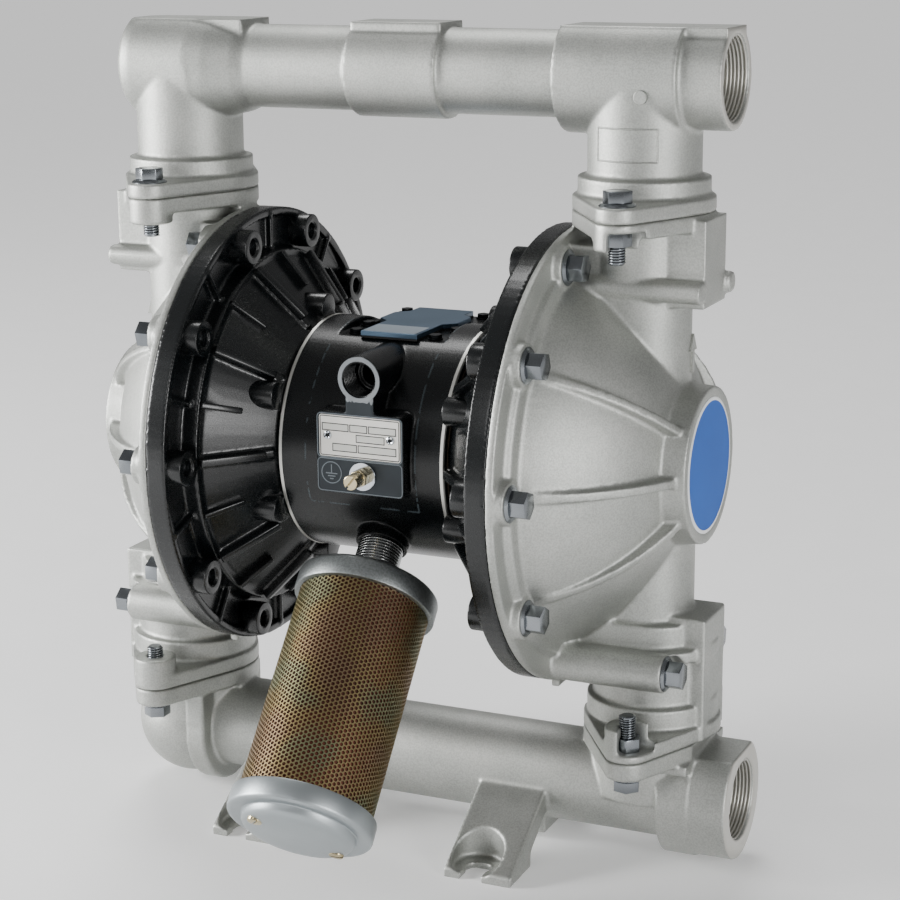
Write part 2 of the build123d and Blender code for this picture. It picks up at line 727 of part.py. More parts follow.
# Centre housing: black cylinder between the air covers, bored for the shaft, the trip rod
# and the valve spool. Its flat top takes the valve cover; the front carries the air inlet,
# the pad for the data plate and the ground screw, and the socket for the muffler.
deck_z = shaft_height + 65.5
deck_half_length = 34.3
deck_back_y = 58.0
pad_face_y = -housing_radius - 7.7
pad_width = 56.0
pad_depth = 48.5
pad_corner = 4.0
pad_centre = (4.0, shaft_height + 6.75)
air_inlet_x = 4.2
air_inlet_z = shaft_height + 51.0
air_inlet_radius = 13.6
air_inlet_neck = 18.3
air_passage_radius = 7.0
spool_y = 20.0
spool_z = shaft_height + 38.0
spool_radius = 12.0
spool_bore_end_x = housing_half_length - 7.5
valve_chamber_half = spool_bore_end_x - 14.0
valve_chamber_floor_z = spool_z - 14.0
ground_screw_centre = (5.9, shaft_height - 6.0)
ground_screw_radius = 2.5
ground_screw_depth = 9.0
muffler_collar_radius = 15.7
muffler_collar_end = housing_radius + 6.7
nipple_start = housing_radius - 7.3
gasket_bore = 46.0
muffler_origin = (2.0, 0, shaft_height)
muffler_direction = (0.045, -0.707, -0.707)
muffler_line = Plane(origin=muffler_origin, z_dir=muffler_direction)
muffler_axis = Axis(muffler_origin, muffler_direction)
muffler_profile = Plane(origin=muffler_origin, x_dir=muffler_direction, z_dir=(0, -1, 1))


def front(y, x=0.0, z=0.0):
    """Plane facing the front at y, with z up, centred on x and z."""
    return Plane(origin=(x, y, z), x_dir=(1, 0, 0), z_dir=(0, -1, 0))


with BuildPart() as centre_housing:
    bar(-housing_half_length, housing_half_length, shaft_height, housing_radius)
    slab(-deck_half_length, deck_half_length, 0, deck_back_y, shaft_height, deck_z)
    with BuildSketch(front(pad_face_y, *pad_centre)):
        RectangleRounded(pad_width, pad_depth, pad_corner)
    extrude(amount=-30.0)
    with BuildSketch(front(pad_face_y, air_inlet_x)):
        with Locations((0, (pad_centre[1] + air_inlet_z) / 2)):
            Rectangle(air_inlet_neck, air_inlet_z - pad_centre[1])
        with Locations((0, air_inlet_z)):
            Circle(air_inlet_radius)
    extrude(amount=-50.0)
    with BuildSketch(muffler_line.offset(nipple_start)):
        Circle(muffler_collar_radius)
    extrude(amount=muffler_collar_end - nipple_start)
    # Flat deck, valve chamber and the spool's bore
    half = deck_half_length
    slab(-half, half, -deck_back_y - 2, deck_back_y + 2, deck_z, deck_z + 10, Mode.SUBTRACT)
    slab(
        -valve_chamber_half,
        valve_chamber_half,
        spool_y - spool_radius - seat_clearance,
        spool_y + spool_radius + seat_clearance,
        valve_chamber_floor_z,
        deck_z,
        Mode.SUBTRACT,
    )
    bore = spool_radius + running_clearance
    bar(-spool_bore_end_x, spool_bore_end_x, spool_z, bore, Mode.SUBTRACT, y=spool_y)
    # Bores for the shaft's and the trip rod's bushings
    bore = shaft_radius + bushing_wall
    bar(-housing_half_length, housing_half_length, shaft_height, bore, Mode.SUBTRACT)
    bore = trip_rod_radius + trip_bushing_wall
    bar(-housing_half_length, housing_half_length, shaft_height, bore, Mode.SUBTRACT, y=trip_rod_y)
    # Air inlet, its passage to the valve chamber, muffler socket and ground screw hole
    with BuildSketch(front(pad_face_y, air_inlet_x, air_inlet_z)):
        Circle(air_inlet_thread_radius)
    extrude(amount=-air_inlet_thread_length, mode=Mode.SUBTRACT)
    with BuildSketch(front(pad_face_y, air_inlet_x, air_inlet_z)):
        Circle(air_passage_radius)
    extrude(amount=pad_face_y - spool_y, mode=Mode.SUBTRACT)
    with BuildSketch(muffler_line.offset(nipple_start)):
        Circle(nipple_radius + running_clearance)
    extrude(amount=muffler_collar_end - nipple_start, mode=Mode.SUBTRACT)
    with BuildSketch(front(pad_face_y, *ground_screw_centre)):
        Circle(ground_screw_radius + running_clearance)
    extrude(amount=-ground_screw_depth - 1, mode=Mode.SUBTRACT)
write(centre_housing.part, "centre_housing")

for name, face_x in (("right", housing_half_length), ("left", -air_cover_x0)):
    with BuildPart() as gasket:
        bar(face_x, face_x + cover_gasket, shaft_height, hub_radius)
        bar(face_x, face_x + cover_gasket, shaft_height, gasket_bore, Mode.SUBTRACT)
    write(gasket.part, f"{name}_air_cover_gasket")


# Air valve: a spool with a sliding carriage in the housing, below the ported valve plate,
# the gasket and the screwed cover.
spool_half_length = spool_bore_end_x - 6.0
spool_piston_x = spool_half_length - 14.0
spool_collar_x = 9.0
spool_collar_end_x = 13.0
spool_stem_radius = 8.0
spool_waist_radius = 7.0
valve_plate_half = 20.0
valve_plate_z = deck_z - 4.0
valve_port_radius = 3.0
valve_port_pitch = 9.0
carriage_width = 20.0
gasket_height = 1.0
valve_cover_height = 3.0
valve_cover_side = [
    (18.5, -30.0),
    (18.5, 6.0),
    (26.0, 13.0),
    (26.0, 33.0),
    (18.5, 40.0),
    (18.5, 54.0),
]
valve_cover_outline = valve_cover_side + [(-x, y) for x, y in reversed(valve_cover_side)]
valve_screw_points = [(-26, -20), (26, -20), (-29.5, 4), (29.5, 4), (-26, 52), (26, 52)]
valve_screw_radius = 4.5
valve_screw_height = 3.5

with BuildPart() as valve_spool:
    for x0, x1, radius in (
        (0, spool_half_length, spool_waist_radius),
        (spool_collar_x, spool_collar_end_x, spool_radius),
        (spool_collar_x, spool_half_length, spool_stem_radius),
        (spool_piston_x, spool_half_length, spool_radius),
    ):
        bar(x0, x1, spool_z, radius, y=spool_y)
        bar(-x1, -x0, spool_z, radius, y=spool_y)
write(valve_spool.part, "valve_spool")

with BuildPart() as valve_carriage:
    slab(
        running_clearance - spool_collar_x,
        spool_collar_x - running_clearance,
        spool_y - carriage_width / 2,
        spool_y + carriage_width / 2,
        spool_z,
        valve_plate_z - running_clearance,
    )
    bore = spool_waist_radius + running_clearance
    bar(-spool_collar_x, spool_collar_x, spool_z, bore, Mode.SUBTRACT, y=spool_y)
write(valve_carriage.part, "valve_carriage")

with BuildPart() as valve_plate:
    with BuildSketch(level(valve_plate_z, 0, spool_y)):
        Rectangle(2 * valve_plate_half, 2 * spool_radius)
        with GridLocations(valve_port_pitch, 0, 3, 1):
            Circle(valve_port_radius, mode=Mode.SUBTRACT)
    extrude(amount=deck_z - valve_plate_z)
write(valve_plate.part, "valve_plate")

with BuildPart() as valve_gasket:
    with BuildSketch(level(deck_z)):
        Polygon(*valve_cover_outline, align=None)
    extrude(amount=gasket_height)
write(valve_gasket.part, "valve_gasket")

with BuildPart() as valve_cover:
    with BuildSketch(level(deck_z + gasket_height)):
        Polygon(*valve_cover_outline, align=None)
    extrude(amount=valve_cover_height)
write(valve_cover.part, "valve_cover")

with BuildPart() as valve_cover_screws:
    with BuildSketch(level(deck_z)):
        with Locations(*valve_screw_points):
            RegularPolygon(valve_screw_radius, 6)
    extrude(amount=valve_screw_height)
write(valve_cover_screws.part, "valve_cover_screws")


# Shaft group: the shaft carries an air plate and a fluid plate at each end, with the
# diaphragm clamped between them. The trip rod beside it is pushed by the air plates.
air_plate_x = cover_joint_x - 14.0
air_plate_radius = 58.0
diaphragm_centre_x = cover_joint_x - 7.0
diaphragm_centre_thickness = 4.0
diaphragm_roll_start = air_plate_radius + 2.0
diaphragm_roll_middle = air_plate_radius + 22.0
diaphragm_roll_end = diaphragm_bead_radius - 13.0
fluid_plate_x = diaphragm_centre_x + diaphragm_centre_thickness
fluid_plate_radius = 50.0
fluid_plate_rim = 9.0
fluid_plate_nose = (fluid_plate_x + 17.0, 20.0)
stud_radius = 8.0
stud_end_x = fluid_plate_x + 7.0
stud_bore = stud_radius + running_clearance
trip_rod_end_x = air_plate_x - 13.3
bushing_x0 = housing_half_length - 19.5
bushing_x1 = air_cavity_x0 - 2.0
trip_bushing_x0 = housing_half_length - 8.5

with BuildPart() as diaphragm_shaft:
    bar(-air_plate_x, air_plate_x, shaft_height, shaft_radius)
    bar(-stud_end_x, stud_end_x, shaft_height, stud_radius)
write(diaphragm_shaft.part, "diaphragm_shaft")

with BuildPart() as trip_rod:
    bar(-trip_rod_end_x, trip_rod_end_x, shaft_height, trip_rod_radius, y=trip_rod_y)
write(trip_rod.part, "trip_rod")

for side, x0, x1 in (("right", bushing_x0, bushing_x1), ("left", -bushing_x1, -bushing_x0)):
    with BuildPart() as bushing:
        bar(x0, x1, shaft_height, shaft_radius + bushing_wall - running_clearance)
        bar(x0, x1, shaft_height, shaft_radius + running_clearance, Mode.SUBTRACT)
    write(bushing.part, f"{side}_shaft_bushing")

for side, x0, x1 in (
    ("right", trip_bushing_x0, bushing_x1),
    ("left", -bushing_x1, -trip_bushing_x0),
):
    with BuildPart() as bushing:
        outer = trip_rod_radius + trip_bushing_wall - running_clearance
        bar(x0, x1, shaft_height, outer, y=trip_rod_y)
        bar(x0, x1, shaft_height, trip_rod_radius + running_clearance, Mode.SUBTRACT, y=trip_rod_y)
    write(bushing.part, f"{side}_trip_rod_bushing")

with BuildPart() as right_air_plate:
    bar(air_plate_x, diaphragm_centre_x, shaft_height, air_plate_radius)
    bar(air_plate_x, diaphragm_centre_x, shaft_height, stud_bore, Mode.SUBTRACT)
write(right_air_plate.part, "right_air_plate")

with BuildPart() as right_fluid_plate:
    with BuildSketch(shaft_plane):
        Polygon(
            (fluid_plate_x, 0),
            (fluid_plate_x, fluid_plate_radius),
            (fluid_plate_x + fluid_plate_rim, fluid_plate_radius),
            fluid_plate_nose,
            (fluid_plate_nose[0], 0),
            align=None,
        )
    revolve(axis=shaft_axis)
    bar(fluid_plate_x, stud_end_x + seat_clearance, shaft_height, stud_bore, Mode.SUBTRACT)
write(right_fluid_plate.part, "right_fluid_plate")

with BuildPart() as right_diaphragm:
    with BuildSketch(shaft_plane):
        with BuildLine():
            Polyline(
                (fluid_plate_x, diaphragm_roll_start),
                (fluid_plate_x, stud_bore),
                (diaphragm_centre_x, stud_bore),
                (diaphragm_centre_x, diaphragm_roll_start),
            )
            ThreePointArc(
                (diaphragm_centre_x, diaphragm_roll_start),
                (diaphragm_centre_x + 9.0, diaphragm_roll_middle),
                (cover_joint_x - diaphragm_thickness, diaphragm_roll_end),
            )
            Polyline(
                (cover_joint_x - diaphragm_thickness, diaphragm_roll_end),
                (cover_joint_x - diaphragm_thickness, diaphragm_bead_radius),
                (cover_joint_x, diaphragm_bead_radius),
                (cover_joint_x, diaphragm_roll_end - 0.5),
            )
            ThreePointArc(
                (cover_joint_x, diaphragm_roll_end - 0.5),
                (diaphragm_centre_x + 12.2, diaphragm_roll_middle),
                (fluid_plate_x, diaphragm_roll_start),
            )
        make_face()
    revolve(axis=shaft_axis)
write(right_diaphragm.part, "right_diaphragm")

for name, piece in (
    ("air_plate", right_air_plate),
    ("fluid_plate", right_fluid_plate),
    ("diaphragm", right_diaphragm),
):
    with BuildPart() as left_piece:
        add(piece.part, rotation=(0, 0, 180))
    write(left_piece.part, f"left_{name}")


# Muffler: hangs from the housing on a threaded nipple, forty-five degrees down to the
# front. Two cast caps hold a perforated shell round the fibre element.
top_cap_start = muffler_collar_end + 18.0
top_cap_shoulder = top_cap_start + 10.0
top_cap_end = top_cap_start + 23.0
top_cap_neck = 16.0
nipple_end = top_cap_start + 7.0
nipple_bore = 10.0
cap_radius = 42.2
cap_wall = 3.0
shell_radius = 38.7
shell_thickness = 1.0
element_radius = shell_radius - shell_thickness - seat_clearance
element_bore = 14.0
bottom_cap_start = top_cap_start + 142.0
bottom_cap_shoulder = bottom_cap_start + 20.0
bottom_cap_end = bottom_cap_start + 28.0
bottom_cap_dome_radius = 33.5
bottom_cap_dome_edge = (bottom_cap_end - 3.0, 30.5)
bottom_cap_crown = (bottom_cap_end - 0.8, 16.0)
shell_start = top_cap_shoulder + cap_wall
shell_end = bottom_cap_shoulder - cap_wall
cap_bore = shell_radius + running_clearance
muffler_screw_circle = 26.0
muffler_screw_angle = 43.0
muffler_screw_radius = 4.5
muffler_screw_face = bottom_cap_shoulder + 1.0
muffler_screw_height = 6.0

with BuildPart() as muffler_nipple:
    with BuildSketch(muffler_line.offset(nipple_start)):
        Circle(nipple_radius)
        Circle(nipple_bore, mode=Mode.SUBTRACT)
    extrude(amount=nipple_end - nipple_start)
write(muffler_nipple.part, "muffler_nipple")

with BuildPart() as muffler_top_cap:
    with BuildSketch(muffler_profile):
        Polygon(
            (top_cap_start, nipple_radius + running_clearance),
            (top_cap_start, top_cap_neck),
            (top_cap_shoulder, cap_radius),
            (top_cap_end, cap_radius),
            (top_cap_end, cap_bore),
            (shell_start, cap_bore),
            (shell_start, nipple_radius + running_clearance),
            align=None,
        )
    revolve(axis=muffler_axis)
write(muffler_top_cap.part, "muffler_top_cap")

with BuildPart() as muffler_shell:
    with BuildSketch(muffler_line.offset(shell_start)):
        Circle(shell_radius)
        Circle(shell_radius - shell_thickness, mode=Mode.SUBTRACT)
    extrude(amount=shell_end - shell_start)
write(muffler_shell.part, "muffler_shell")

with BuildPart() as muffler_element:
    with BuildSketch(muffler_line.offset(shell_start)):
        Circle(element_radius)
        Circle(element_bore, mode=Mode.SUBTRACT)
    extrude(amount=shell_end - shell_start)
write(muffler_element.part, "muffler_element")

with BuildPart() as muffler_bottom_cap:
    with BuildSketch(muffler_profile):
        with BuildLine():
            Polyline(
                (bottom_cap_end, 0),
                (shell_end, 0),
                (shell_end, cap_bore),
                (bottom_cap_start, cap_bore),
                (bottom_cap_start, cap_radius),
                (bottom_cap_shoulder, cap_radius),
            )
            Polyline(
                (bottom_cap_shoulder, cap_radius),
                (bottom_cap_shoulder, bottom_cap_dome_radius),
                bottom_cap_dome_edge,
            )
            ThreePointArc(bottom_cap_dome_edge, bottom_cap_crown, (bottom_cap_end, 0))
        make_face()
    revolve(axis=muffler_axis)
    with BuildSketch(muffler_line.offset(muffler_screw_face)):
        with PolarLocations(muffler_screw_circle, 2, muffler_screw_angle):
            Circle(muffler_screw_radius + seat_clearance)
    extrude(amount=10.0, mode=Mode.SUBTRACT)
write(muffler_bottom_cap.part, "muffler_bottom_cap")

with BuildPart() as muffler_screws:
    with BuildSketch(muffler_line.offset(muffler_screw_face)):
        with PolarLocations(muffler_screw_circle, 2, muffler_screw_angle):
            Circle(muffler_screw_radius)
    extrude(amount=muffler_screw_height)
write(muffler_screws.part, "muffler_screws")


# Front fittings: the data plate on its two rivets, and the ground screw over its washer.
plate_width = 51.9
plate_height = 24.8
plate_centre = (4.35, shaft_height + 16.7)
plate_corner = 1.5
plate_thickness = 0.6
rivet_points = [(-20.55, 0.3), (19.65, 0.3)]
rivet_radius = 2.0
rivet_height = 0.8
washer_radius = 7.0
washer_height = 1.4
ground_head_flats = 9.6
ground_head_height = 5.2
ground_tip_radius = 4.4
ground_tip_height = 5.0

with BuildPart() as data_plate:
    with BuildSketch(front(pad_face_y, *plate_centre)):
        RectangleRounded(plate_width, plate_height, plate_corner)
    extrude(amount=plate_thickness)
write(data_plate.part, "data_plate")

with BuildPart() as data_plate_rivets:
    with BuildSketch(front(pad_face_y - plate_thickness, *plate_centre)):
        with Locations(*rivet_points):
            Circle(rivet_radius)
    extrude(amount=rivet_height)
write(data_plate_rivets.part, "data_plate_rivets")

with BuildPart() as ground_washer:
    with BuildSketch(front(pad_face_y, *ground_screw_centre)):
        Circle(washer_radius)
        Circle(ground_screw_radius + running_clearance, mode=Mode.SUBTRACT)
    extrude(amount=washer_height)
write(ground_washer.part, "ground_washer")

with BuildPart() as ground_screw:
    with BuildSketch(front(pad_face_y + ground_screw_depth, *ground_screw_centre)):
        Circle(ground_screw_radius)
    extrude(amount=ground_screw_depth + washer_height)
    with BuildSketch(front(pad_face_y - washer_height, *ground_screw_centre)):
        RegularPolygon(ground_head_flats / 2, 6, major_radius=False)
    extrude(amount=ground_head_height)
    with BuildSketch(front(pad_face_y - washer_height - ground_head_height, *ground_screw_centre)):
        Circle(ground_tip_radius)
    extrude(amount=ground_tip_height)
write(ground_screw.part, "ground_screw")
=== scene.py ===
from math import cos, pi, radians, sin, sqrt

import bpy
from mathutils import Euler, Matrix, Vector


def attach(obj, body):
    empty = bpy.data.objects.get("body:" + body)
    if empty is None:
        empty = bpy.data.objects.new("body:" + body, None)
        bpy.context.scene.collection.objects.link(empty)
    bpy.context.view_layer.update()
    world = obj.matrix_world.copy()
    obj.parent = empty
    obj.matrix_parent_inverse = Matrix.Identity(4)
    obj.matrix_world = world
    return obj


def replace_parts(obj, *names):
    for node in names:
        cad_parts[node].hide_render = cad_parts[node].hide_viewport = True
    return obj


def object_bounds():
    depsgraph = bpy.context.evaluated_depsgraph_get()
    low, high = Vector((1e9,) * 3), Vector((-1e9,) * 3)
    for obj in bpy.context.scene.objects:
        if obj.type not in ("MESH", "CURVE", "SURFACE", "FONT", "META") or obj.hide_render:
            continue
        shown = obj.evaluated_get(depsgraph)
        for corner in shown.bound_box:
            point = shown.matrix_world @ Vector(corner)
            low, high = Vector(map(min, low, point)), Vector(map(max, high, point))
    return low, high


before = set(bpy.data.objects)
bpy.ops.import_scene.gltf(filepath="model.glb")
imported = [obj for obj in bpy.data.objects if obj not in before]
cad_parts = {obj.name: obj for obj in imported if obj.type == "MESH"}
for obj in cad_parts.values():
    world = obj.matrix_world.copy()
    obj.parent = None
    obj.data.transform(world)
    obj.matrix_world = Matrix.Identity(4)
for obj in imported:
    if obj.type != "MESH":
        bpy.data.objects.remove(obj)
cad_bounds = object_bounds()

# Air operated diaphragm pump. Everything is in metres, +X along the shaft towards the
# ported side, -Y towards the air inlet and the muffler, +Z up.
mm = 0.001
shaft_height = 245
shaft_z = shaft_height * mm


# Centre housing: a sand-cast aluminium cylinder, turned at both ends and coated satin
# black. The coating is thin, so the cast grain shows through as a faint orange peel.
def linear(code):
    """Turns an sRGB hex colour into the linear colour that the shaders take."""
    channels = [int(code[i : i + 2], 16) / 255 for i in (0, 2, 4)]
    return [c / 12.92 if c <= 0.04045 else ((c + 0.055) / 1.055) ** 2.4 for c in channels] + [1]


def add(tree, kind, inputs=None, **settings):
    """Adds a shader node, sets it, feeds its inputs, and returns its outputs."""
    node = tree.nodes.new("ShaderNode" + kind)
    for name, value in settings.items():
        setattr(node, name, value)
    for key, value in (inputs or {}).items():
        if isinstance(value, bpy.types.NodeSocket):
            tree.links.new(value, node.inputs[key])
        else:
            node.inputs[key].default_value = value
    return node.outputs


def cast_finish(name, light, dark, rough, metallic, grain, relief, gloss=0.5, speck=0.0):
    """Cast metal, bare or coated: cloudy colour, a fine grain in mm, and a shallow relief."""
    finish = bpy.data.materials.new(name)
    finish.use_nodes = True
    tree = finish.node_tree
    shader = tree.nodes["Principled BSDF"]
    place = add(tree, "TexCoord")["Object"]
    clouds = add(tree, "TexNoise", {"Vector": place, "Scale": 22.0, "Detail": 5.0})[0]
    fine = add(tree, "TexNoise", {"Vector": place, "Scale": 1 / (grain * mm), "Detail": 3.0})[0]
    spots = add(tree, "TexNoise", {"Vector": place, "Scale": 0.6 / (grain * mm), "Detail": 2.0})[0]
    cloudy = add(tree, "MapRange", {"Value": clouds, "From Min": 0.35, "From Max": 0.68})[0]
    colour = add(
        tree, "Mix", {0: cloudy, 6: linear(light), 7: linear(dark)}, data_type="RGBA"
    )[2]
    specks = add(
        tree, "MapRange", {"Value": spots, "From Min": 0.4, "From Max": 0.62, "To Max": speck}
    )[0]
    colour = add(
        tree,
        "Mix",
        {0: specks, 6: colour, 7: linear(dark)},
        data_type="RGBA",
        blend_type="MULTIPLY",
    )[2]
    patchy = add(
        tree, "MapRange", {"Value": fine, "To Min": rough - 0.07, "To Max": rough + 0.07}
    )[0]
    bump = add(tree, "Bump", {"Height": fine, "Strength": 1.0, "Distance": relief * mm})[0]
    tree.links.new(colour, shader.inputs["Base Color"])
    tree.links.new(patchy, shader.inputs["Roughness"])
    tree.links.new(bump, shader.inputs["Normal"])
    shader.inputs["Metallic"].default_value = metallic
    shader.inputs["Specular IOR Level"].default_value = gloss
    return finish


def only(piece):
    """Selects one piece and makes it the active one."""
    bpy.ops.object.select_all(action="DESELECT")
    piece.select_set(True)
    bpy.context.view_layer.objects.active = piece
    return piece


def start(primitive, **settings):
    """Adds one of Blender's mesh primitives and applies its place, turn and scale."""
    bpy.ops.object.select_all(action="DESELECT")
    primitive(**settings)
    bpy.ops.object.transform_apply()
    return bpy.context.object


def modify(piece, kind, **settings):
    """Adds a modifier, sets it and applies it."""
    only(piece)
    step = piece.modifiers.new("step", kind)
    for name, value in settings.items():
        setattr(step, name, value)
    bpy.ops.object.modifier_apply(modifier="step")


def wear(piece, finish):
    """Gives a piece one finish."""
    piece.data.materials.clear()
    piece.data.materials.append(finish)


def copy_of(node):
    """Copies a CAD node, with its faces joined at their edges."""
    only(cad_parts[node])
    bpy.ops.object.duplicate()
    piece = bpy.context.object
    bpy.ops.object.mode_set(mode="EDIT")
    bpy.ops.mesh.select_all(action="SELECT")
    bpy.ops.mesh.remove_doubles(threshold=0.01 * mm)
    bpy.ops.object.mode_set(mode="OBJECT")
    return piece


def cast(piece, node, name, finish, voxel, passes=3, limit=180000):
    """Makes a piece one casting: a single skin whose edges and corners are rounded."""
    piece.name = name
    size = voxel * mm * 1
    modify(piece, "REMESH", mode="VOXEL", voxel_size=size)
    modify(piece, "SMOOTH", factor=0.5, iterations=passes)
    triangles = 2 * len(piece.data.polygons)
    if triangles > limit:
        modify(piece, "DECIMATE", ratio=limit / triangles)
    bpy.ops.object.shade_smooth()
    wear(piece, finish)
    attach(piece, "pump")
    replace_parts(piece, node)
    return piece


def half_turned(piece, node, name):
    """Copies a finished piece for the other side of the pump, turned half round about Z."""
    only(piece)
    bpy.ops.object.duplicate()
    other = bpy.context.object
    other.name = name
    other.matrix_world = Matrix.Rotation(pi, 4, "Z")
    bpy.ops.object.transform_apply(rotation=True)
    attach(other, "pump")
    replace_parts(other, node)
    return other


def face_finish(piece, finish, chosen):
    """Gives a second finish to the faces that a test of centre and normal chooses."""
    piece.data.materials.append(finish)
    slot = len(piece.data.materials) - 1
    for face in piece.data.polygons:
        if chosen(face.center, face.normal):
            face.material_index = slot


up, forward = (0, 0, 1), (0, -1, 0)


def settle(piece, place, along=up, turn=0.0):
    """Moves a piece modelled along Z to its place in mm, with its Z along another way."""
    way = Vector(along).to_track_quat("Z", "Y").to_matrix().to_4x4()
    piece.matrix_world = (
        Matrix.Translation(Vector(place) * mm) @ way @ Matrix.Rotation(turn, 4, "Z")
    )
    only(piece)
    bpy.ops.object.transform_apply(location=True, rotation=True, scale=True)
    return piece


def block(x0, x1, y0, y1, z0, z1):
    """A block between two opposite corners, in mm."""
    piece = start(bpy.ops.mesh.primitive_cube_add, size=1)
    piece.location = [(x0 + x1) / 2 * mm, (y0 + y1) / 2 * mm, (z0 + z1) / 2 * mm]
    piece.scale = ((x1 - x0) * mm, (y1 - y0) * mm, (z1 - z0) * mm)
    bpy.ops.object.transform_apply()
    return piece


def rod(radius, length, place, way=(1, 0, 0)):
    """A round bar from a place in mm, along a way."""
    bar = start(
        bpy.ops.mesh.primitive_cylinder_add,
        vertices=64,
        radius=radius * mm,
        depth=length * mm,
        location=(0, 0, length / 2 * mm),
    )
    return settle(bar, place, way)


def fuse(piece, others):
    """Joins bodies to the casting that they are part of."""
    only(piece)
    for other in others:
        other.select_set(True)
        other.data.materials.clear()
        if piece.data.materials:
            other.data.materials.append(piece.data.materials[0])
    bpy.ops.object.join()
    return piece


def carve(piece, tool, operation="DIFFERENCE"):
    """Cuts a piece with a tool, or keeps what is common to both, and removes the tool."""
    modify(piece, "BOOLEAN", object=tool, operation=operation, solver="EXACT")
    only(tool)
    bpy.ops.object.delete()
    return piece


# A thin black coat gives the eye a satin skin with soft highlights and a faint orange peel.
# Its grain of 0.6 mm is coarser than the real one, so that it shows.
black_coat = cast_finish(
    "black_coated_casting", "060A0C", "030506",
    rough=0.27, metallic=0.0, grain=0.6, relief=0.015, gloss=0.55,
)
housing_coat = cast_finish(
    "black_coated_housing", "060A0C", "030506",
    rough=0.27, metallic=0.0, grain=0.6, relief=0.018, gloss=0.4,
)
# Where metal is ground or turned bare it is lighter, with a tighter shine than the coat
ground_face = cast_finish(
    "ground_coated_face", "34393D", "2A2F33",
    rough=0.42, metallic=0.6, grain=0.4, relief=0.01,
)
port_ring = cast_finish(
    "bare_port_ring", "8F9396", "7C8083",
    rough=0.34, metallic=1.0, grain=0.4, relief=0.006,
)
bare_edge = cast_finish(
    "turned_aluminium", "E4E3DE", "D6D5CF",
    rough=0.42, metallic=1.0, grain=0.4, relief=0.004,
)

# A thin broken flash line is left where the housing's core box closed round the pad
seam_x, seam_z, seam_width = 35.5 * mm, 217 * mm, 0.55 * mm
tree = housing_coat.node_tree
place = add(tree, "TexCoord")["Object"]
x, y, z = add(tree, "SeparateXYZ", {0: place})
side = add(tree, "Math", {0: x}, operation="ABSOLUTE")[0]
upright = add(tree, "Math", {0: side, 1: seam_x, 2: seam_width}, operation="COMPARE")[0]
above = add(tree, "Math", {0: z, 1: seam_z}, operation="GREATER_THAN")[0]
across = add(tree, "Math", {0: z, 1: seam_z, 2: seam_width}, operation="COMPARE")[0]
inside = add(tree, "Math", {0: side, 1: seam_x}, operation="LESS_THAN")[0]
upright = add(tree, "Math", {0: upright, 1: above}, operation="MULTIPLY")[0]
across = add(tree, "Math", {0: across, 1: inside}, operation="MULTIPLY")[0]
line = add(tree, "Math", {0: upright, 1: across}, operation="MAXIMUM")[0]
breaks = add(tree, "TexNoise", {"Vector": place, "Scale": 160.0, "Detail": 2.0})[0]
broken = add(tree, "Math", {0: breaks, 1: 0.46}, operation="GREATER_THAN")[0]
in_front = add(tree, "Math", {0: y, 1: 0.0}, operation="LESS_THAN")[0]
broken = add(tree, "Math", {0: broken, 1: in_front}, operation="MULTIPLY")[0]
line = add(tree, "Math", {0: line, 1: broken}, operation="MULTIPLY")[0]
grain = tree.nodes["Bump"].outputs[0]
seam = add(tree, "Bump", {"Height": line, "Distance": 0.9 * mm, "Normal": grain})[0]
tree.links.new(seam, tree.nodes["Principled BSDF"].inputs["Normal"])
coat = tree.nodes["Principled BSDF"].inputs["Base Color"].links[0].from_socket
rubbed = add(tree, "Mix", {0: line, 6: coat, 7: linear("3A4246")}, data_type="RGBA")[2]
tree.links.new(rubbed, tree.nodes["Principled BSDF"].inputs["Base Color"])

housing = copy_of("centre_housing")
housing = cast(housing, "centre_housing", "housing_casting", housing_coat, 0.8)
# The spool's bore is honed after the casting
spool_radius, spool_bore = 12.4, 91.9
carve(housing, rod(spool_radius, spool_bore, (-spool_bore / 2, 20, 283)))
# The pad's face is ground below the air inlet's ring, which is bare metal
pad_face, ring_foot = -79.0, 283 * mm
front = lambda at, normal: at.y < (pad_face + 0.4) * mm and normal.y < -0.8
face_finish(housing, ground_face, lambda at, normal: front(at, normal) and at.z < ring_foot)
face_finish(housing, port_ring, lambda at, normal: front(at, normal) and at.z > ring_foot)


def turned(name, outline, finish, steps=64, body="pump"):
    """Turns a round piece about Z through the radius and height of each step, in mm."""
    (radius, height), *rest = outline
    piece = start(
        bpy.ops.mesh.primitive_circle_add,
        vertices=steps,
        radius=radius * mm,
        location=(0, 0, height * mm),
    )
    piece.name = name
    bpy.ops.object.mode_set(mode="EDIT")
    bpy.ops.mesh.select_all(action="SELECT")
    for next_radius, next_height in rest:
        rise = (next_height - height) * mm
        bpy.ops.mesh.extrude_region_move(TRANSFORM_OT_translate={"value": (0, 0, rise)})
        grow = next_radius / radius
        bpy.ops.transform.resize(value=(grow, grow, 1), center_override=(0, 0, 0))
        radius, height = next_radius, next_height
    bpy.ops.mesh.select_all(action="SELECT")
    bpy.ops.mesh.remove_doubles(threshold=0.01 * mm)
    bpy.ops.mesh.normals_make_consistent(inside=False)
    bpy.ops.object.mode_set(mode="OBJECT")
    bpy.ops.object.shade_smooth_by_angle(angle=radians(32))
    wear(piece, finish)
    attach(piece, body)
    return piece


# The turned ends show as a bright ring of bare metal
for side, x in (("left", -53.5), ("right", 53.5)):
    way = (1 if x > 0 else -1, 0, 0)
    ring = turned(
        f"{side}_housing_edge",
        [(69.5, -2.3), (71.45, -2.3), (71.45, -0.5), (70.9, 0.1), (69.5, 0.1), (69.5, -2.3)],
        bare_edge,
        steps=128,
    )
    settle(ring, (x, 0, shaft_height), way)


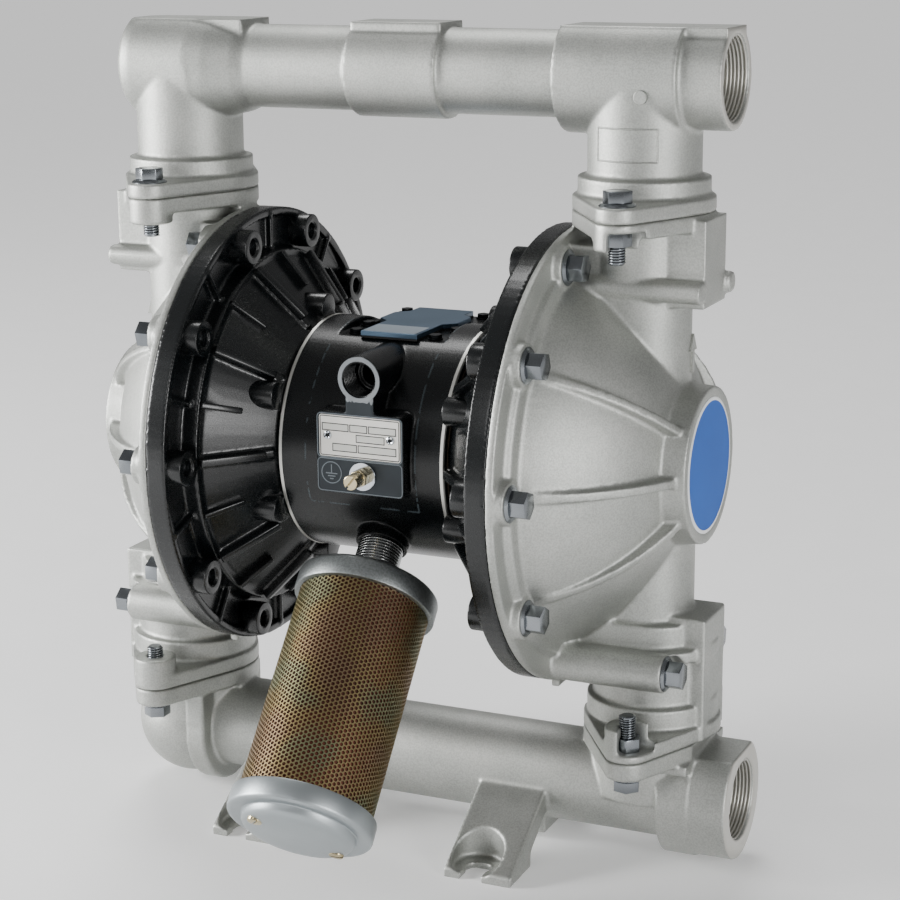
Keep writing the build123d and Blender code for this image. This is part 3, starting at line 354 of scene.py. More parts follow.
def thread(name, radius, pitch, turns, finish, steps=48, body="pump"):
    """Winds a pipe thread about Z from height 0: a three-sided ridge, screwed upwards."""
    piece = start(
        bpy.ops.mesh.primitive_circle_add,
        vertices=3,
        radius=0.55 * pitch * mm,
        location=(radius * mm, 0, 0),
        rotation=(pi / 2, 0, 0),
    )
    piece.name = name
    modify(
        piece,
        "SCREW",
        axis="Z",
        angle=2 * pi,
        screw_offset=pitch * mm,
        iterations=turns,
        steps=steps,
        render_steps=steps,
        use_normal_calculate=True,
    )
    wear(piece, finish)
    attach(piece, body)
    return piece


# Pipe threads have 14 turns an inch on the air side, and 11.5 on the liquid side
air_pitch, liquid_pitch = 1.81, 2.21
port_x, port_z = 4.2, 296
ridge = thread("air_inlet_thread", 10.55, air_pitch, 9, black_coat)
settle(ridge, (port_x, pad_face + 0.6, port_z), (0, 1, 0))
ring = turned(
    "air_inlet_face",
    [(10.8, -0.4), (10.8, 0.15), (13.3, 0.15), (13.5, -0.4), (10.8, -0.4)],
    port_ring,
)
settle(ring, (port_x, pad_face, port_z), forward)


# Air covers: the same coated casting as the housing, ribbed on the side towards the
# housing. The cover bolts screw into the rim's bosses.
def around(pattern, angles, rest=(0, 0, shaft_height)):
    """Copies a pattern, whose X is outwards and whose Z is the shaft, to angles from +Y."""
    copies = []
    for angle in angles:
        only(pattern)
        bpy.ops.object.duplicate()
        copies.append(settle(bpy.context.object, rest, (1, 0, 0), turn=radians(angle)))
    only(pattern)
    bpy.ops.object.delete()
    return copies


cover = cast(
    copy_of("right_air_cover"),
    "right_air_cover",
    "right_air_cover_casting",
    black_coat,
    1.0,
    passes=2,
)
# The ribs stand up from the cone with broken edges, and end square in front of the hub
bolt_circle = 122.5
cone_way = (0.759, 0, 0.651)
cone_rib = block(-2.7, 2.7, -6.5, 3, 0, 41)
cone_fin = block(-1.8, 1.8, -4.5, 3, 0, 26)
boss = rod(10.4, 12.0, (bolt_circle, 0, 84.5), up)
carve(boss, rod(5.6, 6.0, (bolt_circle, 0, 83.0), up))
lug = rod(8.5, 19.0, (76.0, 0, 54.4), up)
for piece, edge in ((cone_rib, 1.1), (cone_fin, 0.9), (boss, 0.7), (lug, 0.9)):
    modify(piece, "BEVEL", width=edge * mm, segments=3, limit_method="ANGLE")
    bpy.ops.object.shade_smooth_by_angle(angle=radians(30))
settle(cone_rib, (75, 0, 61.5), cone_way)
settle(cone_fin, (87, 0, 71.8), cone_way)
rim_angles = [36 * index for index in range(10)]
fuse(
    cover,
    around(cone_rib, rim_angles)
    + around(cone_fin, [angle + 18 for angle in rim_angles])
    + around(boss, rim_angles)
    + around(lug, (27, 90, 153, 207, 270, 333)),
)
half_turned(cover, "left_air_cover", "left_air_cover_casting")


# Fluid covers: gravity-cast aluminium, bead-blasted to an even grey with a dull sheen. The
# bowl is domed, with a crescent rib over each side bolt, a washer boss round every rim bolt
# and a notch by the front nuts, where a spanner goes in. One casting serves both sides.
# Blasting leaves fine dimples that scatter the light, with darker specks. They are drawn at
# 0.6 mm, several times their real size, so that they show.
blasted = cast_finish(
    "blasted_aluminium", "BDBEBA", "ACAEAA",
    rough=0.53, metallic=1.0, grain=0.6, relief=0.09, speck=0.3,
)

short_angles, long_angles = [36 * index for index in range(-1, 7)], (252, 288)


def on_circle(angle, way=1):
    """The Y and Z of a cover bolt, in mm, at an angle from +Y."""
    y = way * bolt_circle * cos(radians(angle))
    return y, shaft_height + bolt_circle * sin(radians(angle))


cover = copy_of("right_fluid_cover")
# The inlet duct's box ends behind the two long bosses, not below them
carve(cover, block(111.5, 200, -60, 60, 104.5, 127.5))
carve(cover, block(105.5, 150, -37, 37, 99.5, 110.2))
# Notches beside the front nuts
carve(cover, block(150.5, 168, -72, -50.05, 375.5, 386.5))
carve(cover, block(160, 177.5, -72, -50.05, 87, 102))
# The bowl, the ribs and the ball chamber are hollow, as the liquid fills them
bowl, hollow = [
    start(
        bpy.ops.mesh.primitive_uv_sphere_add,
        segments=128,
        ring_count=64,
        radius=radius * mm,
        location=(59 * mm, 0, shaft_z),
    )
    for radius in (126, 116)
]
carve(bowl, block(112, 176, -130, 130, 115, 375), "INTERSECT")
carve(bowl, hollow)
rib_centre_x, rib_centre_z = -7.6, 67.5
rib = rod(129.65, 5.4, (rib_centre_x, -2.7, rib_centre_z), (0, 1, 0))
carve(rib, block(42, 114, -3, 3, 111, 188), "INTERSECT")
carve(rib, rod(121.0, 8.0, (rib_centre_x, -4.0, rib_centre_z), (0, 1, 0)))
ribs = around(rib, (-36, 0, 36, 144, 180, 216))
bosses = [rod(12.3, 9.5, (107, *on_circle(angle))) for angle in short_angles]
long_bosses = [rod(11.5, 70.0, (108, y, 128.5)) for y in (-37.9, 37.9)]
bars = [rod(6.3, length, (108, y, 349)) for y, length in ((-24.0, 83.0), (21.5, 86.0))]
inlet_x, outlet_x = 157.5, 148.0
chamber = rod(35.0, 36.0, (inlet_x, 0, 103), up)
chamber_foot = rod(39.0, 21.0, (inlet_x, 0, 83), up)
for wall in (chamber, chamber_foot):
    carve(wall, rod(29.0, 70.0, (inlet_x, 0, 75), up))
web = block(187, 195.4, -19.3, 19.3, 99, 134)
fuse(cover, [bowl, *ribs, *bosses, *long_bosses, *bars, chamber, chamber_foot, web])
cover = cast(
    cover,
    "right_fluid_cover",
    "right_fluid_cover_casting",
    blasted,
    1.2,
    passes=2,
)
# A raised arrow on the duct shows which way the liquid flows
arrow_tail = block(172, 177.6, 3.6, 6.4, 298, 312)
arrow_head = start(
    bpy.ops.mesh.primitive_cylinder_add, vertices=3, radius=6.5 * mm, depth=5.6 * mm
)
fuse(cover, [arrow_tail, settle(arrow_head, (174.8, 5, 314), (1, 0, 0))])
half_turned(cover, "left_fluid_cover", "left_fluid_cover_casting")


# Hub badges: painted discs with a thin pale border, left bare.
# Flat, dull paint whose only change is a faint cloudiness
badge_blue = cast_finish(
    "badge_blue_enamel", "0A56B0", "0950A6",
    rough=0.45, metallic=0.0, grain=0.5, relief=0.002, gloss=0.12,
)
badge_edge = cast_finish(
    "badge_pale_border", "E8EAEC", "DCDEE0",
    rough=0.35, metallic=0.0, grain=0.5, relief=0.002,
)
badge_outline = [(0.02, 0.0), (39.8, 0.0), (39.8, 0.9), (39.4, 1.1), (37.8, 1.1)]
badge_outline += [(37.6, 0.95), (0.02, 0.95)]
on_border = lambda at, normal: Vector((at.y, at.z - shaft_z)).length > 37.7 * mm
for side, way in (("left", -1), ("right", 1)):
    disc = turned(f"{side}_badge_disc", badge_outline, badge_blue, steps=96)
    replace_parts(disc, f"{side}_hub_badge")
    settle(disc, (189 * way, 0, shaft_height), (way, 0, 0))
    face_finish(disc, badge_edge, on_border)


# Manifolds: the same blasted castings, with tapped ports at the right-hand ends.
# A faced end is smoother and brighter than the blasted skin around it
port_face = cast_finish(
    "faced_aluminium", "C9C7C0", "BDBBB4",
    rough=0.34, metallic=0.8, grain=0.4, relief=0.004,
)
outlet_height, inlet_height, pipe_top, port_radius = 466.3, 42.3, 494.4, 24.15
outlet_port_x, inlet_port_x = 200.8, 214.5
outlet = copy_of("outlet_manifold")
# The pipe runs on past the left riser as a round end, and its top is planed level
carve(outlet, block(-186, -99, -40, 40, outlet_height + 0.1, 500))
carve(outlet, block(-131, -99, -40, 40, 426, 500))
riser_radius = 32.6
riser = rod(riser_radius, 41.0, (-outlet_x, 0, 425), up)
end = turned(
    "end",
    [
        *((0.02, 182), (24, 182), (29, 180.5), (32, 177), (33, 172)),
        *((33, 134), (31.5, 122), (27.5, 104), (24.8, 98), (0.02, 97)),
    ],
    blasted,
    steps=96,
)
settle(end, (0, 0, outlet_height), (-1, 0, 0))
carve(end, block(-190, -90, -50, 50, pipe_top, 510))
left_pad = block(-174, -100, -18, 18, 470, pipe_top)
right_pad = block(103, 200.7, -18, 18, 487.5, pipe_top)
carve(right_pad, rod(port_radius, 26.0, (201, 0, outlet_height), (-1, 0, 0)))
carve(outlet, block(-190, 205, -50, 50, pipe_top, 510))
fuse(outlet, [end, riser, left_pad, right_pad])
inlet = copy_of("inlet_manifold")
# Webs carry the flanges down to the pipe's rings, and the feet are closed behind their holes
foot_x = 79
heels = []
for x in (-foot_x, foot_x):
    for way in (-1, 1):
        for near, far, top in ((53, 66.5, 4.5), (51.5, 56.3, 9.0)):
            y0, y1 = sorted((way * near, way * far))
            heels.append(block(x - 21.4, x + 21.4, y0, y1, 0.02, top))
webs = [block(-144, -131, -39, 39, 50, 72), block(172, 191, -37, 37, 66, 72)]
fuse(inlet, [*webs, *heels])
for casting, name, port_at, z in (
    (outlet, "outlet", outlet_port_x, outlet_height),
    (inlet, "inlet", inlet_port_x, inlet_height),
):
    cast(
        casting,
        f"{name}_manifold",
        f"{name}_manifold_casting",
        blasted,
        1.2,
        passes=2,
    )
    at_port = lambda at, normal: at.x > (port_at - 0.6) * mm and normal.x > 0.7
    face_finish(casting, port_face, at_port)
    ridge = thread(
        f"{name}_port_thread", 24.1, liquid_pitch, 9, port_face, steps=96
    )
    settle(ridge, (port_at - 1.0, 0, z), (-1, 0, 0))

# A thin bare frame is cast on the right riser, and a flat pip is left on the tee above it
frame_left, frame_right, frame_foot, frame_top, line_radius = 129.6, 165.0, 421.2, 439.4, 0.55
frame_lines = []
for z in (frame_foot, frame_top):
    line = start(
        bpy.ops.mesh.primitive_torus_add,
        major_radius=riser_radius * mm,
        minor_radius=line_radius * mm,
        major_segments=128,
        minor_segments=8,
        location=(outlet_x * mm, 0, z * mm),
    )
    arc = block(frame_left, frame_right, -40, 0, z - 2, z + 2)
    frame_lines.append(carve(line, arc, "INTERSECT"))
for x in (frame_left, frame_right):
    y = -sqrt(riser_radius**2 - (x - outlet_x) ** 2)
    frame_lines.append(rod(line_radius, frame_top - frame_foot, (x, y, frame_foot), up))
pip = rod(3.9, 3.0, (156, -30.4, 457), forward)
modify(pip, "BEVEL", width=0.3 * mm, segments=2, limit_method="ANGLE")
fuse(outlet, [*frame_lines, pip])
bpy.ops.object.select_all(action="DESELECT")


# Bolts: zinc-plated steel with a flange under the hexagon and a dished top. The cover
# bolts screw into the air covers; the joint bolts have nuts, let into the covers' slots.
# The plating gives a cool grey shine with slightly darker clouds
zinc = cast_finish(
    "zinc_plated_steel", "8E9296", "6C7074",
    rough=0.24, metallic=1.0, grain=0.5, relief=0.005,
)
bolt_pitch = 1.5


def hexagon(name, across_flats, z0, z1, finish, dish=0.0):
    """A hexagon along Z from z0 to z1, in mm, its top chamfered and dished."""
    piece = start(
        bpy.ops.mesh.primitive_cylinder_add,
        vertices=6,
        radius=across_flats / sqrt(3) * mm,
        depth=(z1 - z0) * mm,
        location=(0, 0, (z0 + z1) / 2 * mm),
    )
    piece.name = name
    for face in piece.data.polygons:
        face.select = face.normal.z > 0.9
    bpy.ops.object.mode_set(mode="EDIT")
    bpy.ops.mesh.select_mode(type="FACE")
    bpy.ops.transform.translate(value=(0, 0, -0.6 * mm))
    bpy.ops.mesh.inset(thickness=0.07 * across_flats * mm)
    bpy.ops.transform.translate(value=(0, 0, 0.6 * mm))
    if dish:
        bpy.ops.mesh.inset(thickness=0.12 * across_flats * mm)
        bpy.ops.transform.translate(value=(0, 0, -dish * mm))
    bpy.ops.mesh.select_mode(type="VERT")
    bpy.ops.object.mode_set(mode="OBJECT")
    modify(piece, "BEVEL", width=0.3 * mm, segments=2, limit_method="ANGLE")
    bpy.ops.object.shade_smooth_by_angle(angle=radians(25))
    piece.data.materials.append(finish)
    return piece


def joined(pieces, name, body="pump"):
    """Joins pieces into the first one, and lets it ride on a body."""
    bpy.ops.object.select_all(action="DESELECT")
    for piece in pieces:
        piece.select_set(True)
    bpy.context.view_layer.objects.active = pieces[0]
    if len(pieces) > 1:
        bpy.ops.object.join()
    pieces[0].name = name
    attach(pieces[0], body)
    return pieces[0]


def hexagon_bolt(head, flats, flange, shank_radius, shank, finish, thread_from=0, nut=None):
    """A flanged bolt along Z, its head above height 0; a nut, if any, at its own height."""
    brim = [(shank_radius, 0.0), (flange - 0.1, 0.0), (flange, 0.5)]
    brim += [(0.62 * flats, 0.13 * flats), (shank_radius, 0.13 * flats)]
    washer = turned("bolt", brim, finish, steps=40)
    pieces = [washer, hexagon("head", flats, 0.08 * flats, head, finish, dish=0.05 * flats)]
    if shank:
        bar = [(shank_radius, 0.5), (shank_radius, 0.7 - shank)]
        bar += [(shank_radius - 0.7, -shank), (0.02, -shank)]
        pieces.append(turned("shank", bar, finish, steps=24))
    if thread_from:
        turns = int((shank - thread_from) / bolt_pitch)
        ridge = thread("ridge", shank_radius, bolt_pitch, turns, finish, steps=24)
        pieces.append(settle(ridge, (0, 0, -shank + 0.8)))
    if nut:
        pieces.append(hexagon("nut", flats, nut, nut + 8.0, finish))
    return joined(pieces, "bolt")


def set_out(pattern, name, places, way, nodes=()):
    """Copies a pattern to each place in mm, turned a little each time, and joins the copies."""
    copies = []
    for index, place in enumerate(places):
        only(pattern)
        bpy.ops.object.duplicate()
        copies.append(settle(bpy.context.object, place, way, turn=0.9 * index))
    only(pattern)
    bpy.ops.object.delete()
    piece = joined(copies, name)
    if nodes:
        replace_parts(piece, *nodes)
    return piece


for side, way in (("left", -1), ("right", 1)):
    bolts = []
    for kind, face_x, angles, shank in (
        ("short", 116.5, short_angles, 28.0),
        ("long", 178.0, long_angles, 89.5),
    ):
        places = [(way * face_x, *on_circle(angle, way)) for angle in angles]
        bolt = hexagon_bolt(
            head=11.5, flats=14.3, flange=10.5, shank_radius=4.6, shank=shank, finish=zinc
        )
        bolts.append(set_out(bolt, f"{side}_{kind}_cover_bolts", places, (way, 0, 0)))
    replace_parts(joined(bolts, f"{side}_cover_bolt_set"), f"{side}_cover_bolts")

joint_bolts = []
for joint_x, seat_z, way, shank, nut in (
    (outlet_x, 400.4, 1, 32.4, -21.9),
    (inlet_x, 71.0, -1, 37.0, -24.0),
):
    places = [
        (side * joint_x + x, y, seat_z) for side in (-1, 1) for x, y in ((4.5, -57.5), (-4.5, 57.5))
    ]
    bolt = hexagon_bolt(
        head=9.3,
        flats=14.3,
        flange=10.5,
        shank_radius=4.3,
        shank=shank,
        finish=zinc,
        thread_from=12.0,
        nut=nut,
    )
    joint_bolts.append(set_out(bolt, "joint_bolts", places, (0, 0, way)))
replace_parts(joined(joint_bolts, "joint_bolt_set"), "manifold_bolts")


# Valve cover: a coated steel plate on its gasket, screwed to the deck of the housing, with
# a bare foil label on its front tongue.
# The coat is a metallic blue-grey, the foil a brushed pale grey, the screws oiled black
cover_coat = cast_finish(
    "blue_grey_coated_plate", "5C7288", "52687C",
    rough=0.36, metallic=0.7, grain=0.5, relief=0.006,
)
foil = cast_finish(
    "satin_foil_label", "B9C4CE", "AEB9C4",
    rough=0.38, metallic=1.0, grain=0.4, relief=0.003,
)
screw_black = cast_finish(
    "blackened_steel", "15171A", "0D0F11",
    rough=0.38, metallic=0.8, grain=0.4, relief=0.01,
)


def plate_copy(node, name, finish, edge):
    """Copies a CAD node that is a cut plate, with its edges broken."""
    piece = copy_of(node)
    bpy.ops.object.mode_set(mode="EDIT")
    bpy.ops.mesh.select_all(action="SELECT")
    bpy.ops.mesh.dissolve_limited(angle_limit=radians(2))
    bpy.ops.object.mode_set(mode="OBJECT")
    modify(piece, "BEVEL", width=edge * mm, segments=2, limit_method="ANGLE")
    bpy.ops.object.shade_smooth_by_angle(angle=radians(25))
    piece.name = name
    wear(piece, finish)
    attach(piece, "pump")
    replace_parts(piece, node)
    return piece


def panel(name, width, height, corner, rise, finish, slot, line=0.0):
    """A rounded rectangle in the XY plane, in mm, raised by rise; only its border, if line."""
    piece = start(bpy.ops.mesh.primitive_plane_add, size=1)
    piece.scale = (width * mm, height * mm, 1)
    bpy.ops.object.transform_apply(scale=True)
    bpy.ops.object.mode_set(mode="EDIT")
    bpy.ops.mesh.select_all(action="SELECT")
    if corner:
        bpy.ops.mesh.bevel(offset=corner * mm, segments=6, affect="VERTICES")
        bpy.ops.mesh.select_all(action="SELECT")
    if line:
        bpy.ops.mesh.select_mode(type="FACE")
        bpy.ops.mesh.inset(thickness=line * mm)
        bpy.ops.mesh.delete(type="FACE")
        bpy.ops.mesh.select_mode(type="VERT")
        bpy.ops.mesh.select_all(action="SELECT")
    bpy.ops.mesh.extrude_region_move(TRANSFORM_OT_translate={"value": (0, 0, rise * mm)})
    bpy.ops.mesh.select_all(action="SELECT")
    bpy.ops.mesh.normals_make_consistent(inside=False)
    bpy.ops.object.mode_set(mode="OBJECT")
    piece.name = name
    wear(piece, finish)
    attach(piece, "pump")
    return piece


plate_copy("valve_cover", "valve_cover_plate", cover_coat, 0.4)
label = panel("valve_cover_label", 34.0, 21.0, 1.0, 0.25, foil, "label_metal")
settle(label, (0, -18.5, 314.5))
screw = hexagon_bolt(
    head=3.5, flats=7.0, flange=4.5, shank_radius=2.0, shank=0, finish=screw_black
)
screw_places = [(x, y, 310.5) for at, y in ((26, -20), (29.5, 4), (26, 52)) for x in (-at, at)]
set_out(screw, "valve_cover_screw_set", screw_places, up, ["valve_cover_screws"])


# Data plate and ground panel: an etched aluminium plate on two rivets, with empty fields,
# and below it a bordered panel with the earth symbol, a bright washer and a brass screw.
# Etching leaves the plate pale and even, with matt black lines; the brass is bright and warm
etched = cast_finish(
    "etched_aluminium", "E6E4DE", "DCDAD4",
    rough=0.5, metallic=0.35, grain=0.4, relief=0.003,
)
field_grey = cast_finish(
    "etched_field", "D2D2CC", "C8C8C2",
    rough=0.5, metallic=0.3, grain=0.3, relief=0.003,
)
etched_line = cast_finish(
    "etched_black_line", "141618", "0E1012",
    rough=0.6, metallic=0.0, grain=0.3, relief=0.003, gloss=0.2,
)
bright_zinc = cast_finish(
    "bright_zinc", "C9CED3", "B4BAC0",
    rough=0.14, metallic=1.0, grain=0.4, relief=0.004,
)
brass = cast_finish(
    "pale_brass", "C9BE9F", "AA9C78",
    rough=0.25, metallic=1.0, grain=0.4, relief=0.006,
)
plate_x, plate_z, plate_y = 4.35, 261.7, pad_face - 0.6
plate_wide, plate_high, line_width = 51.9, 24.8, 0.5

sheet = panel("data_plate_sheet", plate_wide, plate_high, 1.5, 0.6, etched, "label_metal")
settle(sheet, (plate_x, pad_face, plate_z), forward)
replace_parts(sheet, "data_plate")
border = panel(
    "border", plate_wide - 1, plate_high - 1, 1.2, 0.08, etched_line, "label_metal", line=line_width
)
marks = [settle(border, (plate_x, plate_y, plate_z), forward)]
fields = []
# Left edge, right edge, top and bottom of each empty field, from the plate's top left
for x0, x1, top, bottom in (
    (1.8, 19.0, 4.8, 9.4),
    (19.6, 31.0, 4.8, 9.4),
    (31.6, 49.4, 4.8, 9.4),
    (23.6, 42.0, 10.5, 15.2),
    (8.4, 24.2, 16.6, 21.4),
    (24.8, 49.4, 16.6, 21.4),
):
    at = (
        plate_x - plate_wide / 2 + (x0 + x1) / 2,
        plate_y,
        plate_z + plate_high / 2 - (top + bottom) / 2,
    )
    wide, high = x1 - x0, bottom - top
    line = panel("line", wide, high, 0, 0.08, etched_line, "label_metal", line=line_width)
    marks.append(settle(line, at, forward))
    inner = (wide - 2 * line_width, high - 2 * line_width)
    field = panel("field", *inner, 0, 0.03, field_grey, "label_metal")
    fields.append(settle(field, at, forward))
joined(marks, "data_plate_lines")
joined(fields, "data_plate_fields")

rivet = turned(
    "rivet",
    [(0.02, 0.2), (1.05, 0.2), (1.2, 0.6), (1.8, 0.85), (2.4, 0.6), (2.6, 0.0)],
    bright_zinc,
    steps=28,
)
face_finish(rivet, etched_line, lambda at, normal: at.xy.length < 1.1 * mm)
rivet_places = [(plate_x + x, plate_y, plate_z + 0.3) for x in (-20.55, 19.65)]
set_out(rivet, "data_plate_rivet_set", rivet_places, forward, ["data_plate_rivets"])

panel_x, panel_z = 4.0, 238.2
earth_x, earth_y, earth_z = -14.3, pad_face + 0.05, 239.5
ground_screw_place = (5.9, pad_face, 239.0)
# The raised rims and the earth symbol have the pad's own coat; their lighter grey is a painted
# highlight on the raised edges.
rim_painted_highlight = cast_finish(
    "coat_edge_painted_highlight", "7C8388", "6A7176",
    rough=0.38, metallic=0.9, grain=0.4, relief=0.004,
)
rims = []
for high, at_z in ((26.6, plate_z), (19.8, panel_z)):
    rim = panel("rim", 54.6, high, 2.6, 0.4, rim_painted_highlight, "black_enamel", line=0.45)
    rims.append(settle(rim, (panel_x, pad_face + 0.1, at_z), forward))
ring = turned(
    "earth_ring",
    [(6.1, 0.0), (6.1, 0.3), (6.6, 0.3), (6.6, 0.0)],
    rim_painted_highlight,
    steps=48,
)
symbol = [settle(ring, (earth_x, earth_y, earth_z), forward)]
for wide, high, z in ((0.6, 5.2, 2.2), (7.4, 0.6, -0.5), (4.8, 0.6, -2.1), (2.2, 0.6, -3.7)):
    bar = panel("bar", wide, high, 0, 0.3, rim_painted_highlight, "black_enamel")
    symbol.append(settle(bar, (earth_x, earth_y, earth_z + z), forward))
joined(rims, "panel_rims")
joined(symbol, "earth_symbol")

washer = turned(
    "ground_washer_ring",
    [(2.6, 0.0), (8.2, 0.0), (8.5, 0.3), (8.5, 1.1), (8.2, 1.4), (2.6, 1.4), (2.6, 0.0)],
    bright_zinc,
    steps=56,
)
settle(washer, ground_screw_place, forward)
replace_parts(washer, "ground_washer")
nut = hexagon("ground_nut", 9.6, 1.4, 7.0, brass)
tip = rod(4.4, 9.8, (0, 0, 6.8), up)
wear(tip, brass)
modify(tip, "BEVEL", width=0.5 * mm, segments=2, limit_method="ANGLE")
carve(tip, block(-6, 6, -0.7, 0.7, 13.4, 18))
bpy.ops.object.select_all(action="DESELECT")
screw = joined([nut, tip], "ground_screw_head")
settle(screw, ground_screw_place, forward, turn=0.9)
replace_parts(screw, "ground_screw")


# Muffler: two cast caps hold a perforated, yellow-chromated sheet round a felt element.
# It hangs on a threaded nipple, and its bottom cap is fixed by two slotted brass screws.
muffler_start = Vector((2.0, 0.0, shaft_height))
muffler_way = Vector((0.045, -0.707, -0.707)).normalized()
muffler_up = Vector((0, -1, 1)).normalized()
muffler_side = muffler_way.cross(muffler_up)
# The top cap is as rough as its sand mould, and the bottom one is smoother, as if tumbled
nipple_zinc = cast_finish(
    "nipple_zinc", "C4C6C6", "A9ABAB",
    rough=0.24, metallic=1.0, grain=0.5, relief=0.006,
)
grain_grey = cast_finish(
    "rough_cast_cap", "A3A7A7", "868A8A",
    rough=0.44, metallic=1.0, grain=0.7, relief=0.12, speck=0.3,
)
smooth_grey = cast_finish(
    "smooth_cast_cap", "A9AFB1", "9DA3A6",
    rough=0.42, metallic=1.0, grain=0.6, relief=0.03,
)
felt = cast_finish(
    "brown_felt", "6B3B2E", "4A2820",
    rough=0.9, metallic=0.0, grain=0.5, relief=0.15,
)

nipple = turned(
    "muffler_nipple_tube",
    [(10.0, 64.0), (12.9, 64.0), (12.9, 103.0), (10.0, 103.0), (10.0, 64.0)],
    nipple_zinc,
)
ridge = thread("ridge", 12.7, air_pitch, 19, nipple_zinc)
nipple = joined([nipple, settle(ridge, (0, 0, 66.5))], "muffler_nipple_tube")
top_cap = turned(
    "muffler_top_casting",
    [
        *((13.4, 109.0), (13.4, 96.4), (13.9, 96.0), (15.8, 96.0), (16.4, 96.8)),
        *((18.5, 98.4), (37.5, 104.4), (40.4, 105.4), (41.7, 106.6), (42.2, 108.2)),
        *((42.2, 118.0), (41.9, 118.8), (41.2, 119.0), (38.8, 119.0), (38.8, 109.0)),
        (13.4, 109.0),
    ],
    grain_grey,
    steps=128,
)
bottom_cap = turned(
    "muffler_bottom_casting",
    [
        *((0.02, 255.0), (38.8, 255.0), (38.8, 245.5), (41.2, 245.5), (41.9, 245.8)),
        *((42.2, 246.7), (42.2, 255.6), (41.9, 256.8), (41.2, 257.6), (40.0, 258.0)),
        *((38.6, 257.9), (34.0, 257.4), (33.4, 257.9), (32.6, 260.6), (31.2, 262.4)),
        *((28.6, 263.6), (24.0, 264.4), (12.0, 265.4), (0.02, 265.8)),
    ],
    smooth_grey,
    steps=128,
)
for piece, node in (
    (nipple, "muffler_nipple"),
    (top_cap, "muffler_top_cap"),
    (bottom_cap, "muffler_bottom_cap"),
):
    settle(piece, muffler_start, muffler_way)
    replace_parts(piece, node)

# Slotted screws, each cut by a bar
screw = turned(
    "slotted_screw",
    [(0.02, 259.0), (4.3, 259.0), (4.4, 264.2), (4.1, 264.8), (3.0, 265.1), (0.02, 265.2)],
    brass,
    steps=32,
)
carve(screw, block(-5, 5, -0.55, 0.55, 264.1, 266))
screw_way = muffler_up * cos(radians(43)) + muffler_side * sin(radians(43))
screw_places = [muffler_start + screw_way * 26 * way for way in (-1, 1)]
set_out(screw, "muffler_screw_pair", screw_places, muffler_way, ["muffler_screws"])

# Perforated sheet: one pierced hexagon, repeated into a half sheet and rolled up. The holes
# touch in columns along the muffler, and every other column is shifted by half a hole.
columns, rows = 52, 47
sheet_radius = 38.7
column_step = pi * sheet_radius / columns
pitch = column_step * 2 / sqrt(3)
hole_radius, sheet_depth = 1.06, 0.8
# The chromate film drifts from brown to olive over a few centimetres
yellow_zinc = cast_finish(
    "yellow_chromated_sheet", "8A7A5C", "7C7A5E",
    rough=0.48, metallic=1.0, grain=0.6, relief=0.01,
)
tree = yellow_zinc.node_tree
place = add(tree, "TexCoord")["Object"]
film = add(tree, "TexNoise", {"Vector": place, "Scale": 26.0, "Detail": 2.0})[0]
ramp = tree.nodes.new("ShaderNodeValToRGB")
ramp.color_ramp.elements[0].color = linear("87735A")
ramp.color_ramp.elements[1].color = linear("7F7F62")
middle = ramp.color_ramp.elements.new(0.5)
middle.color = linear("8C7C58")
ramp.color_ramp.elements[0].position = 0.38
ramp.color_ramp.elements[2].position = 0.62
tree.links.new(film, ramp.inputs[0])
tree.links.new(ramp.outputs[0], tree.nodes["Principled BSDF"].inputs["Base Color"])

mesh_sheet = start(
    bpy.ops.mesh.primitive_circle_add,
    vertices=12,
    radius=hole_radius * mm,
    rotation=(pi / 2, 0, 0),
)
bpy.ops.object.mode_set(mode="EDIT")
bpy.ops.mesh.select_all(action="SELECT")
bpy.ops.mesh.extrude_region_move()
grow, corner_grow = pitch / 2 / hole_radius, 2 / sqrt(3)
bpy.ops.transform.resize(value=(grow, 1, grow), center_override=(0, 0, 0))
bpy.ops.object.mode_set(mode="OBJECT")
# Every other outer corner goes out to the hexagon's corners, which point along the sheet
near = 0.01 * mm
for vertex in mesh_sheet.data.vertices:
    away = Vector((vertex.co.x, vertex.co.z))
    vertex.select = abs(away.length - pitch / 2 * mm) < near and (
        abs(away.y) < near or abs(abs(away.y) - away.length * cos(pi / 6)) < near
    )
bpy.ops.object.mode_set(mode="EDIT")
bpy.ops.transform.resize(value=(corner_grow, 1, corner_grow), center_override=(0, 0, 0))
bpy.ops.object.mode_set(mode="OBJECT")
for vertex in mesh_sheet.data.vertices:
    vertex.select = vertex.co.length < (hole_radius + 0.1) * mm
bpy.ops.object.mode_set(mode="EDIT")
bpy.ops.mesh.extrude_region_move(TRANSFORM_OT_translate={"value": (0, sheet_depth * mm, 0)})
bpy.ops.object.mode_set(mode="OBJECT")
only(mesh_sheet)
bpy.ops.object.duplicate()
shifted = bpy.context.object
shifted.location = (column_step * mm, 0, pitch / 2 * mm)
bpy.ops.object.transform_apply(location=True)
fuse(mesh_sheet, [shifted])
for count, offset in ((columns // 2, (2 * column_step * mm, 0, 0)), (rows, (0, 0, pitch * mm))):
    modify(
        mesh_sheet,
        "ARRAY",
        count=count,
        use_relative_offset=False,
        use_constant_offset=True,
        constant_offset_displace=offset,
        use_merge_vertices=True,
        merge_threshold=0.02 * mm,
    )
turn = pi * (columns + 1 / 3) / columns
modify(mesh_sheet, "SIMPLE_DEFORM", deform_method="BEND", deform_axis="Z", angle=turn)
mesh_sheet.location = (0, -sheet_radius * mm, (182.5 - rows / 2 * pitch) * mm)
bpy.ops.object.transform_apply(location=True)
bpy.ops.object.shade_smooth_by_angle(angle=radians(30))
halves = [mesh_sheet]
only(mesh_sheet)
bpy.ops.object.duplicate()
halves.append(bpy.context.object)
halves[1].matrix_world = Matrix.Rotation(pi, 4, "Z")
